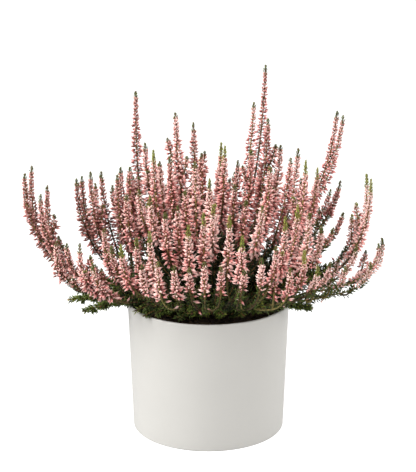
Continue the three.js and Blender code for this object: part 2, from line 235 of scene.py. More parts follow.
SPRAY_PLANS = (
    # left side
    SprayPlan(1.0, ((-151, 14, 229), (-155, -2, 226)), fade_and_shade=0.65, leafy=142, bushy=4, full=0.88),
    SprayPlan(1.0, ((-135, -12, 218), (-139, -27, 214)), fade_and_shade=0.65, leafy=142, bushy=4, full=0.88),
    SprayPlan(0.75, ((-108, 10, 221), (-111, -8, 223)), fade_and_shade=0.65, bushy=2, full=0.88),
    SprayPlan(0.75, ((-99, -8, 229), (-91, 6, 226)), fade_and_shade=0.55, full=0.88),
    SprayPlan(
        0.9,
        ((-126, -36, 176), (-116, -50, 178)),
        fade_and_shade=0.6,
        green=0.0,
        leafy=136,
        bushy=6,
        full=0.92,
    ),
    SprayPlan(0.9, ((-104, -64, 182), (-93, -76, 169)), fade_and_shade=0.35, green=0.5, leafy=132, bushy=6),
    SprayPlan(0.85, ((-75, 14, 228), (-77, -3, 225)), fade_and_shade=0.45, full=0.9),
    SprayPlan(0.85, ((-66, -4, 232), (-68, -24, 213)), fade_and_shade=0.35, bushy=3),
    SprayPlan(0.9, ((-62, 28, 291), (-71, 46, 213)), fade_and_shade=0.3, bushy=0, full=0.88),
    SprayPlan(0.8, ((-86, -36, 187), (-79, -54, 177)), fade_and_shade=0.5, leafy=139, bushy=4, full=0.92),
    SprayPlan(
        0.8, ((-58, -66, 187), (-70, -76, 184), (-47, -76, 195)), fade_and_shade=0.1, green=0.8, leafy=138
    ),
    # middle
    SprayPlan(0.5, ((-54, 14, 249), (-58, -20, 216)), fade_and_shade=0.1, bushy=2),
    SprayPlan(0.6, ((-46, -10, 248), (-48, -36, 215)), fade_and_shade=0.15, green=0.8),
    SprayPlan(0.5, ((-32, -22, 245), (-41, 0, 236)), fade_and_shade=0.1, bushy=0),
    SprayPlan(0.3, ((-28, 20, 274), (-25, 44, 228)), fade_and_shade=0.3, bushy=3),
    SprayPlan(0.2, ((-13, 34, 263), (-6, 10, 241)), fade_and_shade=0.35),
    SprayPlan(0.5, ((-11, -26, 241), (-19, -42, 221)), fade_and_shade=0.1, bushy=0),
    SprayPlan(0.3, ((11, 20, 248), (14, -3, 250)), green=1.0),
    SprayPlan(0.6, ((1, -38, 230), (4, -56, 212)), green=0.9),
    SprayPlan(0.5, ((22, -12, 219),), fade_and_shade=0.4, bushy=0),
    SprayPlan(0.5, ((36, -8, 247), (31, -34, 211)), fade_and_shade=0.2),
    SprayPlan(0.35, ((48, 12, 316), (39, 26, 282)), fade_and_shade=0.2, bushy=0, full=0.78),
    SprayPlan(0.5, ((52, 46, 264), (60, 60, 217)), fade_and_shade=0.35, bushy=2),
    SprayPlan(0.5, ((62, 24, 245),), fade_and_shade=0.15, bushy=2),
    SprayPlan(0.5, ((51, -28, 238), (44, -50, 210)), bushy=2),
    SprayPlan(0.5, ((76, 6, 246), (69, -10, 241)), fade_and_shade=0.1, leafy=160),
    # right side
    SprayPlan(0.7, ((81, -18, 241), (92, -2, 231)), green=0.9, leafy=158, bushy=2),
    SprayPlan(0.35, ((111, 34, 273), (118, 52, 266)), fade_and_shade=0.1, bushy=2, full=0.82),
    SprayPlan(0.3, ((116, 40, 210), (109, 58, 198)), fade_and_shade=0.5, leafy=176, bushy=2),
    SprayPlan(0.3, ((115, -2, 192), (105, -22, 184)), fade_and_shade=0.5, leafy=167, bushy=3),
    SprayPlan(
        1.0, ((135, 10, 223), (137, -6, 222)), fade_and_shade=-0.4, green=1.0, leafy=147, bushy=4, full=0.85
    ),
    SprayPlan(0.7, ((130, 26, 182),), fade_and_shade=0.2, leafy=158, bushy=2),
    SprayPlan(1.0, ((149, 4, 168), (144, -14, 168)), fade_and_shade=-0.45, leafy=131, bushy=3, full=0.85),
    SprayPlan(0.8, ((135, -36, 158), (124, -28, 170)), fade_and_shade=-0.4, leafy=138, bushy=3, full=0.88),
    SprayPlan(0.75, ((112, -58, 161), (99, -66, 167)), fade_and_shade=-0.35, leafy=142, bushy=3, full=0.9),
    SprayPlan(0.8, ((82, -56, 205), (93, -44, 191)), leafy=152, bushy=2),
    # front
    SprayPlan(0.8, ((62, -64, 204), (73, -48, 210)), green=1.0, leafy=146),
    SprayPlan(0.9, ((77, -74, 179), (88, -76, 168)), green=0.9, leafy=143),
    SprayPlan(0.8, ((27, -84, 194), (17, -70, 207)), green=1.0, leafy=151),
    SprayPlan(0.7, ((-16, -74, 200), (-4, -66, 208)), green=1.0, leafy=153, bushy=0),
    SprayPlan(0.7, ((-25, -50, 210), (-35, -58, 206)), leafy=155, bushy=0),
    SprayPlan(
        0.9, ((-40, -90, 174), (-53, -84, 170), (-27, -94, 172)), green=0.0, leafy=142, bushy=0
    ),
    SprayPlan(
        0.9, ((-3, -98, 176), (-15, -94, 170), (10, -100, 173)), green=0.0, leafy=147, bushy=0
    ),
    SprayPlan(0.9, ((42, -94, 178), (54, -84, 185), (28, -96, 169)), green=0.0, leafy=152),
    SprayPlan(0.9, ((65, -90, 169),), green=0.0, leafy=141),
    # back
    SprayPlan(0.8, ((-100, 52, 205), (-86, 66, 200)), fade_and_shade=0.4, bushy=2),
    SprayPlan(0.7, ((-68, 76, 206), (-52, 88, 198)), fade_and_shade=0.4, bushy=2),
    SprayPlan(0.7, ((-30, 84, 212), (-14, 96, 204)), fade_and_shade=0.4, bushy=2),
    SprayPlan(0.7, ((10, 90, 212), (24, 102, 204)), fade_and_shade=0.4, bushy=2),
    SprayPlan(0.7, ((46, 86, 210), (62, 96, 202)), fade_and_shade=0.4, bushy=2),
    SprayPlan(0.8, ((84, 78, 204), (98, 88, 196)), fade_and_shade=0.4, bushy=2),
    SprayPlan(0.9, ((-70, 112, 178), (-84, 102, 172), (-52, 120, 174)), fade_and_shade=0.3),
    SprayPlan(0.9, ((-20, 128, 182), (-36, 124, 176), (-2, 134, 176)), fade_and_shade=0.3),
    SprayPlan(0.9, ((34, 126, 182), (16, 132, 174), (52, 122, 176)), fade_and_shade=0.3),
    SprayPlan(0.9, ((88, 106, 178), (72, 114, 172), (102, 96, 172)), fade_and_shade=0.3),
    SprayPlan(0.4, ((-44, 54, 222), (-34, 38, 226)), fade_and_shade=0.35, bushy=2),
    SprayPlan(0.4, ((10, 58, 224), (26, 50, 226), (-6, 62, 220)), fade_and_shade=0.35, bushy=2),
)

SHOOT_TIPS = (
    (-108, -20, 109),
    (-122, -6, 115),
    (-112, 44, 118),
    (-78, 70, 118),
    (26, 104, 118),
    (112, 46, 120),
    (88, -37, 117),
    (44, -52, 121),
    (12, -62, 121),
    (-14, -62, 121),
    (-40, -54, 121),
)

LIMB_RINGS = (
    LimbRing(count=10, out=26, up=8, start=18),
    LimbRing(count=6, out=16, up=26, start=0),
    LimbRing(count=1, out=1, up=34, start=90),
)


@dataclass
class Spray:
    """The lines of one spray.

    Attributes:
        twig: the twig that carries it.
        spikes: its spikes, the leading one first.
        plan: where it grows, and how it is dressed.
    """

    twig: Line
    spikes: list[Line]
    plan: SprayPlan


@dataclass
class Habit:
    """How the heather grows: the lines of its limbs, twigs, spikes and low leafy shoots.

    A spray's line to the crown has two handles. Where a field has a pair of numbers for them, the
    first is that of the handle nearer the crown.

    Attributes:
        crown_top: the height of the crown.
        rooted: how far below it the limbs start.
        straight_out: how far out the handles of a straight line lie, as shares of its reach.
        straight_up: how far up they lie, as shares of its rise.
        bowed_out: the same as straight_out for a bowed line.
        bowed_up: the same as straight_up for a bowed line.
        clear_of_rim: how far above the crown the handles lie at least.
        flowering: the share of a straight and of a bowed line that the leading spike takes.
        longest: the greatest length of a leading spike.
        seat_gap: the gap between a twig's end and its spray.
        fork: the share of the leading spike at which the side spikes leave it.
        side_pull: how far a side spike's handles lie from its ends, as shares of its length.
        leaves_limb: the share of a limb at which its first twig leaves it.
        spacing: how much further down each further twig leaves it.
        limb_bend: where a limb's handle lies, as a share of its reach and rise.
        shoot_bend: where a low shoot bends down, as a share of its reach.
        over_rim: the least height at which it does.
        limbs: the limbs' lines.
        sprays: the sprays' lines.
        shoots: the low shoots' lines.
    """

    crown_top: float = 111 * MM
    rooted: float = 5 * MM
    straight_out: tuple[float, float] = (0.45, 0.85)
    straight_up: tuple[float, float] = (0.34, 0.6)
    bowed_out: tuple[float, float] = (0.66, 1.06)
    bowed_up: tuple[float, float] = (0.1, 0.04)
    clear_of_rim: tuple[float, float] = (16 * MM, 6 * MM)
    flowering: tuple[float, float] = (0.66, 0.52)
    longest: float = 122 * MM
    seat_gap: float = 0.3 * MM
    fork: float = 0.05
    side_pull: tuple[float, float] = (0.12, 0.5)
    leaves_limb: float = 0.94
    spacing: float = 0.11
    limb_bend: float = 0.4
    shoot_bend: float = 0.72
    over_rim: float = 119.5 * MM
    limbs: list[Line] = field(default_factory=list)
    sprays: list[Spray] = field(default_factory=list)
    shoots: list[Line] = field(default_factory=list)

    def __post_init__(self) -> None:
        """Lay out every line once."""
        for ring in LIMB_RINGS:
            for i in range(ring.count):
                self.limbs.append(self._limb(ring, math.radians(ring.start + 360 * i / ring.count)))
        self._carried = [0] * len(self.limbs)
        self.sprays = [self._spray(plan) for plan in SPRAY_PLANS]
        self.shoots = [self._shoot(Vector(tip) * MM) for tip in SHOOT_TIPS]

    def _limb(self, ring: LimbRing, angle: float) -> Line:
        """One limb.

        Args:
            ring: the ring that it belongs to.
            angle: the direction in which it grows.

        Returns:
            Its line, from inside the crown out to its end.
        """
        outward = Vector((math.cos(angle), math.sin(angle), 0.0)) * ring.out * MM
        top, up = self.crown_top, ring.up * MM
        handle = self.limb_bend * outward + UP * (top + self.limb_bend * up)
        return Line.bezier((UP * (top - self.rooted), handle, outward + UP * (top + up)))

    def _line_to(self, end: Vector, bow: float) -> Line:
        """The line from the crown to a tip.

        Args:
            end: the tip.
            bow: from 0, straight, to 1, low over the rim and then up.

        Returns:
            The line.
        """
        outward = Vector((end.x, end.y, 0.0))
        height = end.z - self.crown_top

        def handle(i: int) -> Vector:
            """One of the curve's handles.

            Args:
                i: 0 for the handle nearer the crown, 1 for the other.

            Returns:
                The handle.
            """
            out = mix(self.straight_out[i], self.bowed_out[i], bow)
            up = mix(self.straight_up[i], self.bowed_up[i], bow) * height
            return outward * out + UP * (self.crown_top + max(up, self.clear_of_rim[i]))

        return Line.bezier((UP * self.crown_top, handle(0), handle(1), end), steps=96)

    def leave_limb(self, place: Vector) -> tuple[Vector, Vector]:
        """Where the next twig towards a place leaves the limb that ends nearest to it.

        Args:
            place: where the twig is bound.

        Returns:
            The twig's start and its heading there.
        """
        nearest = min(
            range(len(self.limbs)), key=lambda i: (self.limbs[i].points[-1] - place).length
        )
        limb = self.limbs[nearest]
        share = self.leaves_limb - self.spacing * self._carried[nearest]
        self._carried[nearest] += 1
        start = limb.at(share)
        return start, ((place - start).normalized() + limb.heading(share)).normalized()

    def _side_spike(self, lead: Line, end: Vector) -> Line:
        """A spike that leaves the leading one near its foot and runs up beside it.

        Args:
            lead: the leading spike.
            end: the side spike's tip.

        Returns:
            The side spike's line.
        """
        near, far = self.side_pull
        start = lead.at(self.fork)
        along = lead.heading(1.0)
        length = (end - start).length
        beside = end - lead.at(1.0)
        beside -= along * beside.dot(along)
        first = start + beside + near * length * lead.heading(self.fork)
        return Line.bezier((start, first, end - far * length * along, end))

    def _spray(self, plan: SprayPlan) -> Spray:
        """The lines of one spray.

        Args:
            plan: where it grows.

        Returns:
            The spray.
        """
        tips = [Vector(tip) * MM for tip in plan.tips]
        whole = self._line_to(tips[0], plan.bow)
        flowered = min(mix(*self.flowering, plan.bow) * whole.length, self.longest)
        foot = 1 - flowered / whole.length
        lead = whole.stretch(foot + self.seat_gap / whole.length, 1.0)
        seat = whole.at(foot)
        start, heading = self.leave_limb(seat)
        third = (seat - start).length / 3
        last = seat - whole.heading(foot) * third
        twig = Line.bezier((start, start + heading * third, last, seat))
        sides = [self._side_spike(lead, tip) for tip in tips[1:]]
        return Spray(twig, [lead, *sides], plan)

    def _shoot(self, end: Vector) -> Line:
        """A low leafy shoot that arches over the rim.

        Args:
            end: its tip.

        Returns:
            Its line.
        """
        start, heading = self.leave_limb(end)
        first = start + heading * (end - start).length / 3
        bend = end * self.shoot_bend
        bend.z = max(end.z, self.over_rim)
        return Line.bezier((start, first, bend, end))


# ------------------------------------------------------------------ shapes and how they gather


def turned(profile: Sequence[Vector], sides: int) -> bmesh.types.BMesh:
    """A closed form, turned about +Z from a profile that starts and ends on the axis.

    Args:
        profile: the profile's corners, each with its distance from the axis as x.
        sides: how many sides the form has.

    Returns:
        The form, with its faces outwards.
    """
    form = bmesh.new()
    corners = [form.verts.new(place) for place in profile]
    edges = [form.edges.new(pair) for pair in zip(corners, corners[1:])]
    bmesh.ops.spin(
        form,
        geom=corners + edges,
        axis=UP,
        cent=(0.0, 0.0, 0.0),
        angle=math.tau,
        steps=sides,
        use_merge=True,
    )
    bmesh.ops.remove_doubles(form, verts=form.verts, dist=1e-6)
    bmesh.ops.recalc_face_normals(form, faces=form.faces)
    return form


class Stamp:
    """A small shape that is repeated many times, standing along +Z from its root."""

    def __init__(self, form: bmesh.types.BMesh) -> None:
        """Take the shape's corners and faces, and free the form.

        Args:
            form: the shape as modelled.
        """
        bmesh.ops.recalc_face_normals(form, faces=form.faces)
        bmesh.ops.triangulate(form, faces=form.faces)
        form.verts.index_update()
        self.corners = np.array([v.co for v in form.verts], dtype=np.float64)
        self.faces = np.array([[v.index for v in f.verts] for f in form.faces], dtype=np.int64)
        height = self.corners[:, 2]
        self.height = float(height.max())
        self.along = (height - height.min()) / max(float(np.ptp(height)), 1e-9)
        form.free()


class Growth:
    """One piece as it grows: shapes pressed and swept into a single mesh.

    Each corner carries two numbers that its finish reads: `along`, from 0 at the root of the
    little shape to 1 at its tip, and `tint`, the tone of that shape.
    """

    def __init__(self) -> None:
        """Start with nothing."""
        self.corners: list[np.ndarray] = []
        self.faces: list[np.ndarray] = []
        self.finishes: list[np.ndarray] = []
        self.along: list[np.ndarray] = []
        self.tint: list[np.ndarray] = []
        self.count = 0

    def press(
        self, stamp: Stamp, places: Sequence[Matrix], tints: Sequence[float], finish: int
    ) -> None:
        """Repeat a shape.

        Args:
            stamp: the shape.
            places: where each copy goes.
            tints: the tone of each copy.
            finish: the number of the material that it wears.
        """
        if not places:
            return
        moves = np.array(places, dtype=np.float64)
        corners = np.einsum("pij,cj->pci", moves[:, :3, :3], stamp.corners)
        corners += moves[:, None, :3, 3]
        offsets = self.count + len(stamp.corners) * np.arange(len(places))
        faces = stamp.faces[None, :, :] + offsets[:, None, None]
        self.corners.append(corners.reshape(-1, 3))
        self.faces.append(faces.reshape(-1, 3))
        self.finishes.append(np.full(faces.shape[0] * faces.shape[1], finish))
        self.along.append(np.tile(stamp.along, len(places)))
        self.tint.append(np.repeat(np.asarray(tints, dtype=np.float64), len(stamp.corners)))
        self.count += corners.shape[0] * corners.shape[1]

    def sweep(
        self,
        line: Line,
        radius_at: Callable[[float], float],
        steps: int,
        finish: int,
        tint: float,
        sides: int,
    ) -> None:
        """Draw a round stem along a line.

        Args:
            line: the line that it follows.
            radius_at: its radius at each share of its length.
            steps: how many straight steps it has.
            finish: the number of the material that it wears.
            tint: its tone.
            sides: how many sides it has.
        """
        form = bmesh.new()
        ring = bmesh.ops.create_circle(form, segments=sides, radius=1.0)["verts"]
        edges = list(form.edges)
        bmesh.ops.contextual_create(form, geom=edges)
        shares = [step / steps for step in range(steps + 1)]
        places = [
            place @ Matrix.Diagonal((radius_at(share), radius_at(share), 1.0, 1.0))
            for place, share in zip(line.frames(shares), shares)
        ]
        bmesh.ops.transform(form, matrix=places[0], verts=ring)
        for before, after in zip(places, places[1:]):
            raised = bmesh.ops.extrude_edge_only(form, edges=edges)["geom"]
            ring = [v for v in raised if isinstance(v, bmesh.types.BMVert)]
            edges = [e for e in raised if isinstance(e, bmesh.types.BMEdge)]
            bmesh.ops.transform(form, matrix=after @ before.inverted(), verts=ring)
        bmesh.ops.contextual_create(form, geom=edges)
        self.press(Stamp(form), [Matrix.Identity(4)], [tint], finish)

    def piece(self, name: str, materials: Sequence[bpy.types.Material]) -> bpy.types.Object:
        """Turn what has gathered into an object.

        Args:
            name: the piece's name.
            materials: what it wears, in the order of the finish numbers.

        Returns:
            The object, at the origin, with its place in its mesh.
        """
        corners = np.concatenate(self.corners)
        faces = np.concatenate(self.faces)
        mesh = bpy.data.meshes.new(name)
        mesh.vertices.add(len(corners))
        mesh.vertices.foreach_set("co", corners.astype(np.float32).ravel())
        mesh.loops.add(faces.size)
        mesh.loops.foreach_set("vertex_index", faces.astype(np.int32).ravel())
        mesh.polygons.add(len(faces))
        mesh.polygons.foreach_set("loop_start", np.arange(0, faces.size, 3, dtype=np.int32))
        for material in materials:
            mesh.materials.append(material)
        finishes = np.concatenate(self.finishes).astype(np.int32)
        mesh.polygons.foreach_set("material_index", finishes)
        for attribute, values in (("along", self.along), ("tint", self.tint)):
            layer = mesh.attributes.new(attribute, "FLOAT", "POINT")
            layer.data.foreach_set("value", np.concatenate(values).astype(np.float32))
        mesh.update(calc_edges=True)
        mesh.shade_smooth()
        return show(mesh)


def show(mesh: bpy.types.Mesh) -> bpy.types.Object:
    """Put a mesh in the scene.

    Args:
        mesh: the mesh.

    Returns:
        An object of the same name.
    """
    thing = bpy.data.objects.new(mesh.name, mesh)
    bpy.context.scene.collection.objects.link(thing)
    return thing


def from_form(
    name: str, form: bmesh.types.BMesh, material: bpy.types.Material
) -> bpy.types.Object:
    """Turn a modelled form into a smooth object.

    Args:
        name: the piece's name.
        form: the form, which is freed.
        material: what it wears.

    Returns:
        The object.
    """
    mesh = bpy.data.meshes.new(name)
    form.to_mesh(mesh)
    form.free()
    mesh.materials.append(material)
    mesh.shade_smooth()
    return show(mesh)


def hand_over(piece: bpy.types.Object, slot: Slot, *nodes: str) -> None:
    """Let a piece ride on the part's one body, and stand for its solids.

    Args:
        piece: the finished piece.
        slot: the record's finish for the piece; not used.
        nodes: the solids that it stands for.
    """
    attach(piece, "root")
    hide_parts(*nodes)
    LOG.info("%s: %d faces", piece.name, len(piece.data.polygons))


# ------------------------------------------------------------------ finishes


class Bench:
    """A node tree, to which nodes are added with their values and links in one go."""

    def __init__(self, tree: bpy.types.NodeTree) -> None:
        """Work on a node tree."""
        self.tree = tree

    def feed(self, node: bpy.types.Node, inputs: dict[str, Value]) -> None:
        """Give a node's inputs their values and links.

        Args:
            node: the node.
            inputs: a number, a colour or another node's output for each input, by the input's
                name, or by its place in the row where several have one name.
        """
        for name, value in inputs.items():
            socket = node.inputs[int(name)] if name.isdigit() else node.inputs[name]
            if isinstance(value, bpy.types.NodeSocket):
                self.tree.links.new(value, socket)
            else:
                socket.default_value = value

    def add(
        self, kind: str, inputs: dict[str, Value] | None = None, **settings: object
    ) -> bpy.types.Node:
        """Add a node.

        Args:
            kind: the node's type.
            inputs: what its inputs are given.
            settings: the node's own properties.

        Returns:
            The node.
        """
        node = self.tree.nodes.new(kind)
        for name, setting in settings.items():
            setattr(node, name, setting)
        self.feed(node, inputs or {})
        return node


def new_group(
    name: str, inputs: Sequence[tuple[str, str]], outputs: Sequence[tuple[str, str]]
) -> tuple[bpy.types.NodeTree, Bench]:
    """An empty shader node group with named sockets.

    Args:
        name: the group's name.
        inputs: the name and socket type of each input.
        outputs: the name and socket type of each output.

    Returns:
        The group and a bench on which to fill it.
    """
    tree = bpy.data.node_groups.new(name, "ShaderNodeTree")
    for way, sockets in (("INPUT", inputs), ("OUTPUT", outputs)):
        for label, kind in sockets:
            tree.interface.new_socket(label, in_out=way, socket_type=kind)
    return tree, Bench(tree)


def mottle_group() -> bpy.types.NodeTree:
    """A group that darkens a colour in soft patches and gives the patches as a mask.

    Returns:
        The group, with inputs Vector, Colour, Scale and Depth, and outputs Colour and Mask.
    """
    colour, number, vector = "NodeSocketColor", "NodeSocketFloat", "NodeSocketVector"
    tree, bench = new_group(
        "mottle",
        (("Vector", vector), ("Colour", colour), ("Scale", number), ("Depth", number)),
        (("Colour", colour), ("Mask", number)),
    )
    given = bench.add("NodeGroupInput").outputs
    fractal = {"Detail": 4.0, "Roughness": 0.6}
    noisy = bench.add(
        "ShaderNodeTexNoise", {"Vector": given["Vector"], "Scale": given["Scale"], **fractal}
    )
    patches = noisy.outputs["Fac"]
    depth = bench.add("ShaderNodeMath", {"0": patches, "1": given["Depth"]}, operation="MULTIPLY")
    level = bench.add("ShaderNodeMath", {"0": 1.0, "1": depth.outputs[0]}, operation="SUBTRACT")
    darker = bench.add(
        "ShaderNodeVectorMath",
        {"0": given["Colour"], "Scale": level.outputs[0]},
        operation="SCALE",
    )
    bench.add("NodeGroupOutput", {"Colour": darker.outputs["Vector"], "Mask": patches})
    return tree


def blush_group() -> bpy.types.NodeTree:
    """A group that colours a small shape from its root to its tip, from dull to pale by its tint.

    Returns:
        The group, with inputs Root, Middle, Tip, Dull and Pale, and the output Colour.
    """
    colour = "NodeSocketColor"
    names = ("Root", "Middle", "Tip", "Dull", "Pale")
    tree, bench = new_group("blush", [(name, colour) for name in names], (("Colour", colour),))
    given = bench.add("NodeGroupInput").outputs
    along = bench.add("ShaderNodeAttribute", attribute_name="along").outputs["Fac"]
    tint = bench.add("ShaderNodeAttribute", attribute_name="tint").outputs["Fac"]

    def blend(
        low: Value, high: Value, by: bpy.types.NodeSocket, start: float, end: float, most: float
    ) -> bpy.types.NodeSocket:
        """Blend softly from one colour to another.

        Args:
            low: the colour up to the start.
            high: the colour towards the end.
            by: the attribute that decides.
            start: the attribute's value where the blend starts.
            end: its value where the blend ends.
            most: the second colour's share at the end.

        Returns:
            The blended colour.
        """
        share = bench.add(
            "ShaderNodeMapRange",
            {"Value": by, "From Min": start, "From Max": end, "To Max": most},
            interpolation_type="SMOOTHSTEP",
        )
        inputs = {"0": share.outputs["Result"], "6": low, "7": high}
        return bench.add("ShaderNodeMix", inputs, data_type="RGBA").outputs[2]

    # On florets and buds the dark root is partly painted shade where they crowd on the stem.
    lower = blend(given["Root"], given["Middle"], along, 0.24, 0.64, 1.0)
    whole = blend(lower, given["Tip"], along, 0.55, 1.0, 1.0)
    fresh = blend(given["Dull"], whole, tint, 0.0, 0.55, 1.0)
    toned = blend(fresh, given["Pale"], tint, 0.6, 1.0, 0.6)
    bench.add("NodeGroupOutput", {"Colour": toned})
    return tree


@dataclass(frozen=True)
class Effects:
    """The node groups that several finishes share.

    Attributes:
        mottle: the group that darkens a colour in patches.
        blush: the group that colours small living shapes.
    """

    mottle: bpy.types.NodeTree = field(default_factory=mottle_group)
    blush: bpy.types.NodeTree = field(default_factory=blush_group)


class Coat(Bench):
    """A new material, with its shader and the nodes that feed it."""

    def __init__(self, name: str) -> None:
        """Start the material.

        Args:
            name: the material's name.
        """
        self.material = bpy.data.materials.new(name)
        self.material.use_nodes = True
        super().__init__(self.material.node_tree)
        self.shader = self.tree.nodes["Principled BSDF"]

    @cached_property
    def place(self) -> bpy.types.NodeSocket:
        """The coordinates of the piece that wears it."""
        return self.add("ShaderNodeTexCoord").outputs["Object"]

    def mottle(
        self, effects: Effects, colour: Value, scale: float, depth: float
    ) -> bpy.types.NodeSocket:
        """Colour the surface, darker in soft patches.

        Args:
            effects: the shared node groups.
            colour: the colour, or the output that gives it.
            scale: how fine the patches are.
            depth: how much darker they are.

        Returns:
            The mask of the patches.
        """
        inputs = {"Vector": self.place, "Colour": colour, "Scale": scale, "Depth": depth}
        group = self.add("ShaderNodeGroup", inputs, node_tree=effects.mottle)
        self.feed(self.shader, {"Base Color": group.outputs["Colour"]})
        return group.outputs["Mask"]

    def relief(self, pattern: bpy.types.NodeSocket, strength: float, height: float) -> None:
        """Let a pattern raise the surface a little.

        Args:
            pattern: the pattern.
            strength: how strongly it shows.
            height: how high it stands.
        """
        inputs = {"Height": pattern, "Strength": strength, "Distance": height}
        bump = self.add("ShaderNodeBump", inputs)
        self.feed(self.shader, {"Normal": bump.outputs["Normal"]})

    def grain(self, scale: float, strength: float, height: float) -> None:
        """Give the surface a fine, even grain.

        Args:
            scale: how fine the grain is.
            strength: how strongly it shows.
            height: how high it stands.
        """
        noisy = self.add("ShaderNodeTexNoise", {"Vector": self.place, "Scale": scale})
        self.relief(noisy.outputs["Fac"], strength, height)


@dataclass(frozen=True)
class Glaze:
    """The pot's satin off-white finish, faintly mottled.

    Attributes:
        colour: its colour.
        roughness: its least and greatest roughness.
        patches: how fine its darker patches are.
        depth: how much darker they are.
        grain: how fine its grain is.
        relief: how strongly the grain shows.
        height: how high it stands.
    """

    colour: Colour = shade(188, 186, 181)
    roughness: tuple[float, float] = (0.36, 0.5)
    patches: float = 26.0
    depth: float = 0.07
    grain: float = 900.0
    relief: float = 0.12
    height: float = 0.1 * MM

    def material(self, effects: Effects) -> bpy.types.Material:
        """Make the material.

        Args:
            effects: the shared node groups.

        Returns:
            The material.
        """
        coat = Coat("satin_glaze")
        patches = coat.mottle(effects, self.colour, self.patches, self.depth)
        low, high = self.roughness
        rough = coat.add("ShaderNodeMapRange", {"Value": patches, "To Min": low, "To Max": high})
        coat.feed(coat.shader, {"Roughness": rough.outputs["Result"]})
        coat.grain(self.grain, self.relief, self.height)
        return coat.material


@dataclass(frozen=True)
class Earth:
    """Dark, crumbly potting soil with paler fibres in it.

    Attributes:
        colour: the colour of its darker crumbs.
        pale: the colour of its paler ones.
        tones: where the two end on the scale of crumbs.
        crumbs: how fine the crumbs are.
        patches: how fine its darker patches are.
        depth: how much darker they are.
        roughness: its roughness.
        relief: how strongly the crumbs stand out.
        height: how high they stand.
    """

    colour: Colour = shade(94, 75, 60)
    pale: Colour = shade(146, 118, 90)
    tones: tuple[float, float] = (0.35, 0.95)
    crumbs: float = 420.0
    patches: float = 90.0
    depth: float = 0.8
    roughness: float = 0.95
    relief: float = 0.8
    height: float = 0.6 * MM

    def material(self, effects: Effects) -> bpy.types.Material:
        """Make the material.

        Args:
            effects: the shared node groups.

        Returns:
            The material.
        """
        coat = Coat("potting_soil")
        crumb = coat.add("ShaderNodeTexVoronoi", {"Vector": coat.place, "Scale": self.crumbs})
        tone = coat.add("ShaderNodeValToRGB", {"Fac": crumb.outputs["Color"]})
        stops = zip(tone.color_ramp.elements, self.tones, (self.colour, self.pale))
        for stop, position, colour in stops:
            stop.position, stop.color = position, colour
        coat.mottle(effects, tone.outputs["Color"], self.patches, self.depth)
        coat.feed(coat.shader, {"Roughness": self.roughness})
        coat.relief(crumb.outputs["Distance"], self.relief, self.height)
        return coat.material


@dataclass(frozen=True)
class Living:
    """The finish of a small living shape, coloured from its root to its tip.

    Attributes:
        name: the material's name.
        root: the colour of the shape's root.
        middle: the colour of its middle.
        tip: the colour of its tip.
        dull: the colour of the dullest shapes, whose tint is 0.
        pale: the colour that the palest take on, whose tint is 1.
        roughness: its roughness.
        shine: how strongly it reflects.
        patches: how fine its darker patches are.
        depth: how much darker they are.
        grain: how fine its grain is.
        relief: how strongly the grain shows.
        height: how high it stands.
    """

    name: str
    root: Colour
    middle: Colour
    tip: Colour
    dull: Colour
    pale: Colour
    roughness: float
    shine: float = 0.25
    patches: float = 700.0
    depth: float = 0.3
    grain: float = 2600.0
    relief: float = 0.35
    height: float = 0.15 * MM

    def material(self, effects: Effects) -> bpy.types.Material:
        """Make the material.

        Args:
            effects: the shared node groups.

        Returns:
            The material.
        """
        coat = Coat(self.name)
        colours = {"Root": self.root, "Middle": self.middle, "Tip": self.tip}
        colours |= {"Dull": self.dull, "Pale": self.pale}
        blush = coat.add("ShaderNodeGroup", colours, node_tree=effects.blush)
        coat.mottle(effects, blush.outputs["Colour"], self.patches, self.depth)
        coat.feed(coat.shader, {"Roughness": self.roughness, "Specular IOR Level": self.shine})
        coat.grain(self.grain, self.relief, self.height)
        return coat.material


# The floret's dark red-brown root is partly its calyx and partly painted shade in the gaps between
# crowded florets.
FLORET = Living(
    "floret_pink",
    root=shade(112, 54, 42),
    middle=shade(248, 160, 154),
    tip=shade(252, 216, 207),
    dull=shade(142, 78, 72),
    pale=shade(254, 224, 214),
    roughness=0.5,
    depth=0.16,
)
LEAF = Living(
    "needle_leaf",
    root=shade(40, 50, 20),
    middle=shade(80, 98, 38),
    tip=shade(112, 126, 50),
    dull=shade(30, 40, 20),
    pale=shade(186, 190, 84),
    roughness=0.5,
)
# The bud's dark root is partly its calyx and partly painted shade between crowded florets.
BUD = Living(
    "bud_mauve",
    root=shade(112, 58, 48),
    middle=shade(222, 150, 144),
    tip=shade(246, 214, 204),
    dull=shade(134, 86, 76),
    pale=shade(248, 224, 214),
    roughness=0.5,
    depth=0.16,
)
# The bracts' red-brown is partly their own colour and partly painted shade: they darken the gaps
# between florets as shaded florets would.
BRACT = Living(
    "bract_brown_painted_shade",
    root=shade(96, 44, 36),
    middle=shade(152, 78, 66),
    tip=shade(190, 110, 92),
    dull=shade(88, 44, 36),
    pale=shade(206, 142, 118),
    roughness=0.6,
)
BARK = Living(
    "twig_bark",
    root=shade(88, 72, 46),
    middle=shade(144, 112, 66),
    tip=shade(116, 76, 62),
    dull=shade(70, 54, 40),
    pale=shade(172, 160, 96),
    roughness=0.75,
    patches=500.0,
)


# ------------------------------------------------------------------ the plant


class Wear(Enum):
    """The order of the materials on every piece of the plant."""

    BARK = 0
    LEAF = 1
    FLORET = 2
    BRACT = 3
    BUD = 4


def tilt(frame_at: Matrix, angle: float, lift: float, out: float, size: float) -> Matrix:
    """Where a shape stands on a stem.

    Args:
        frame_at: the stem's turned place there.
        angle: the direction around the stem.
        lift: how far the shape points up the stem, in degrees from square to it.
        out: how far from the stem's axis its root lies.
        size: its scale.

    Returns:
        The place of the shape, which stands along +Z.
    """
    lean = Matrix.Rotation(math.radians(90 - lift), 4, "Y")
    return (
        frame_at
        @ Matrix.Rotation(angle, 4, "Z")
        @ Matrix.Translation((out, 0.0, 0.0))
        @ lean
        @ Matrix.Scale(size, 4)
    )


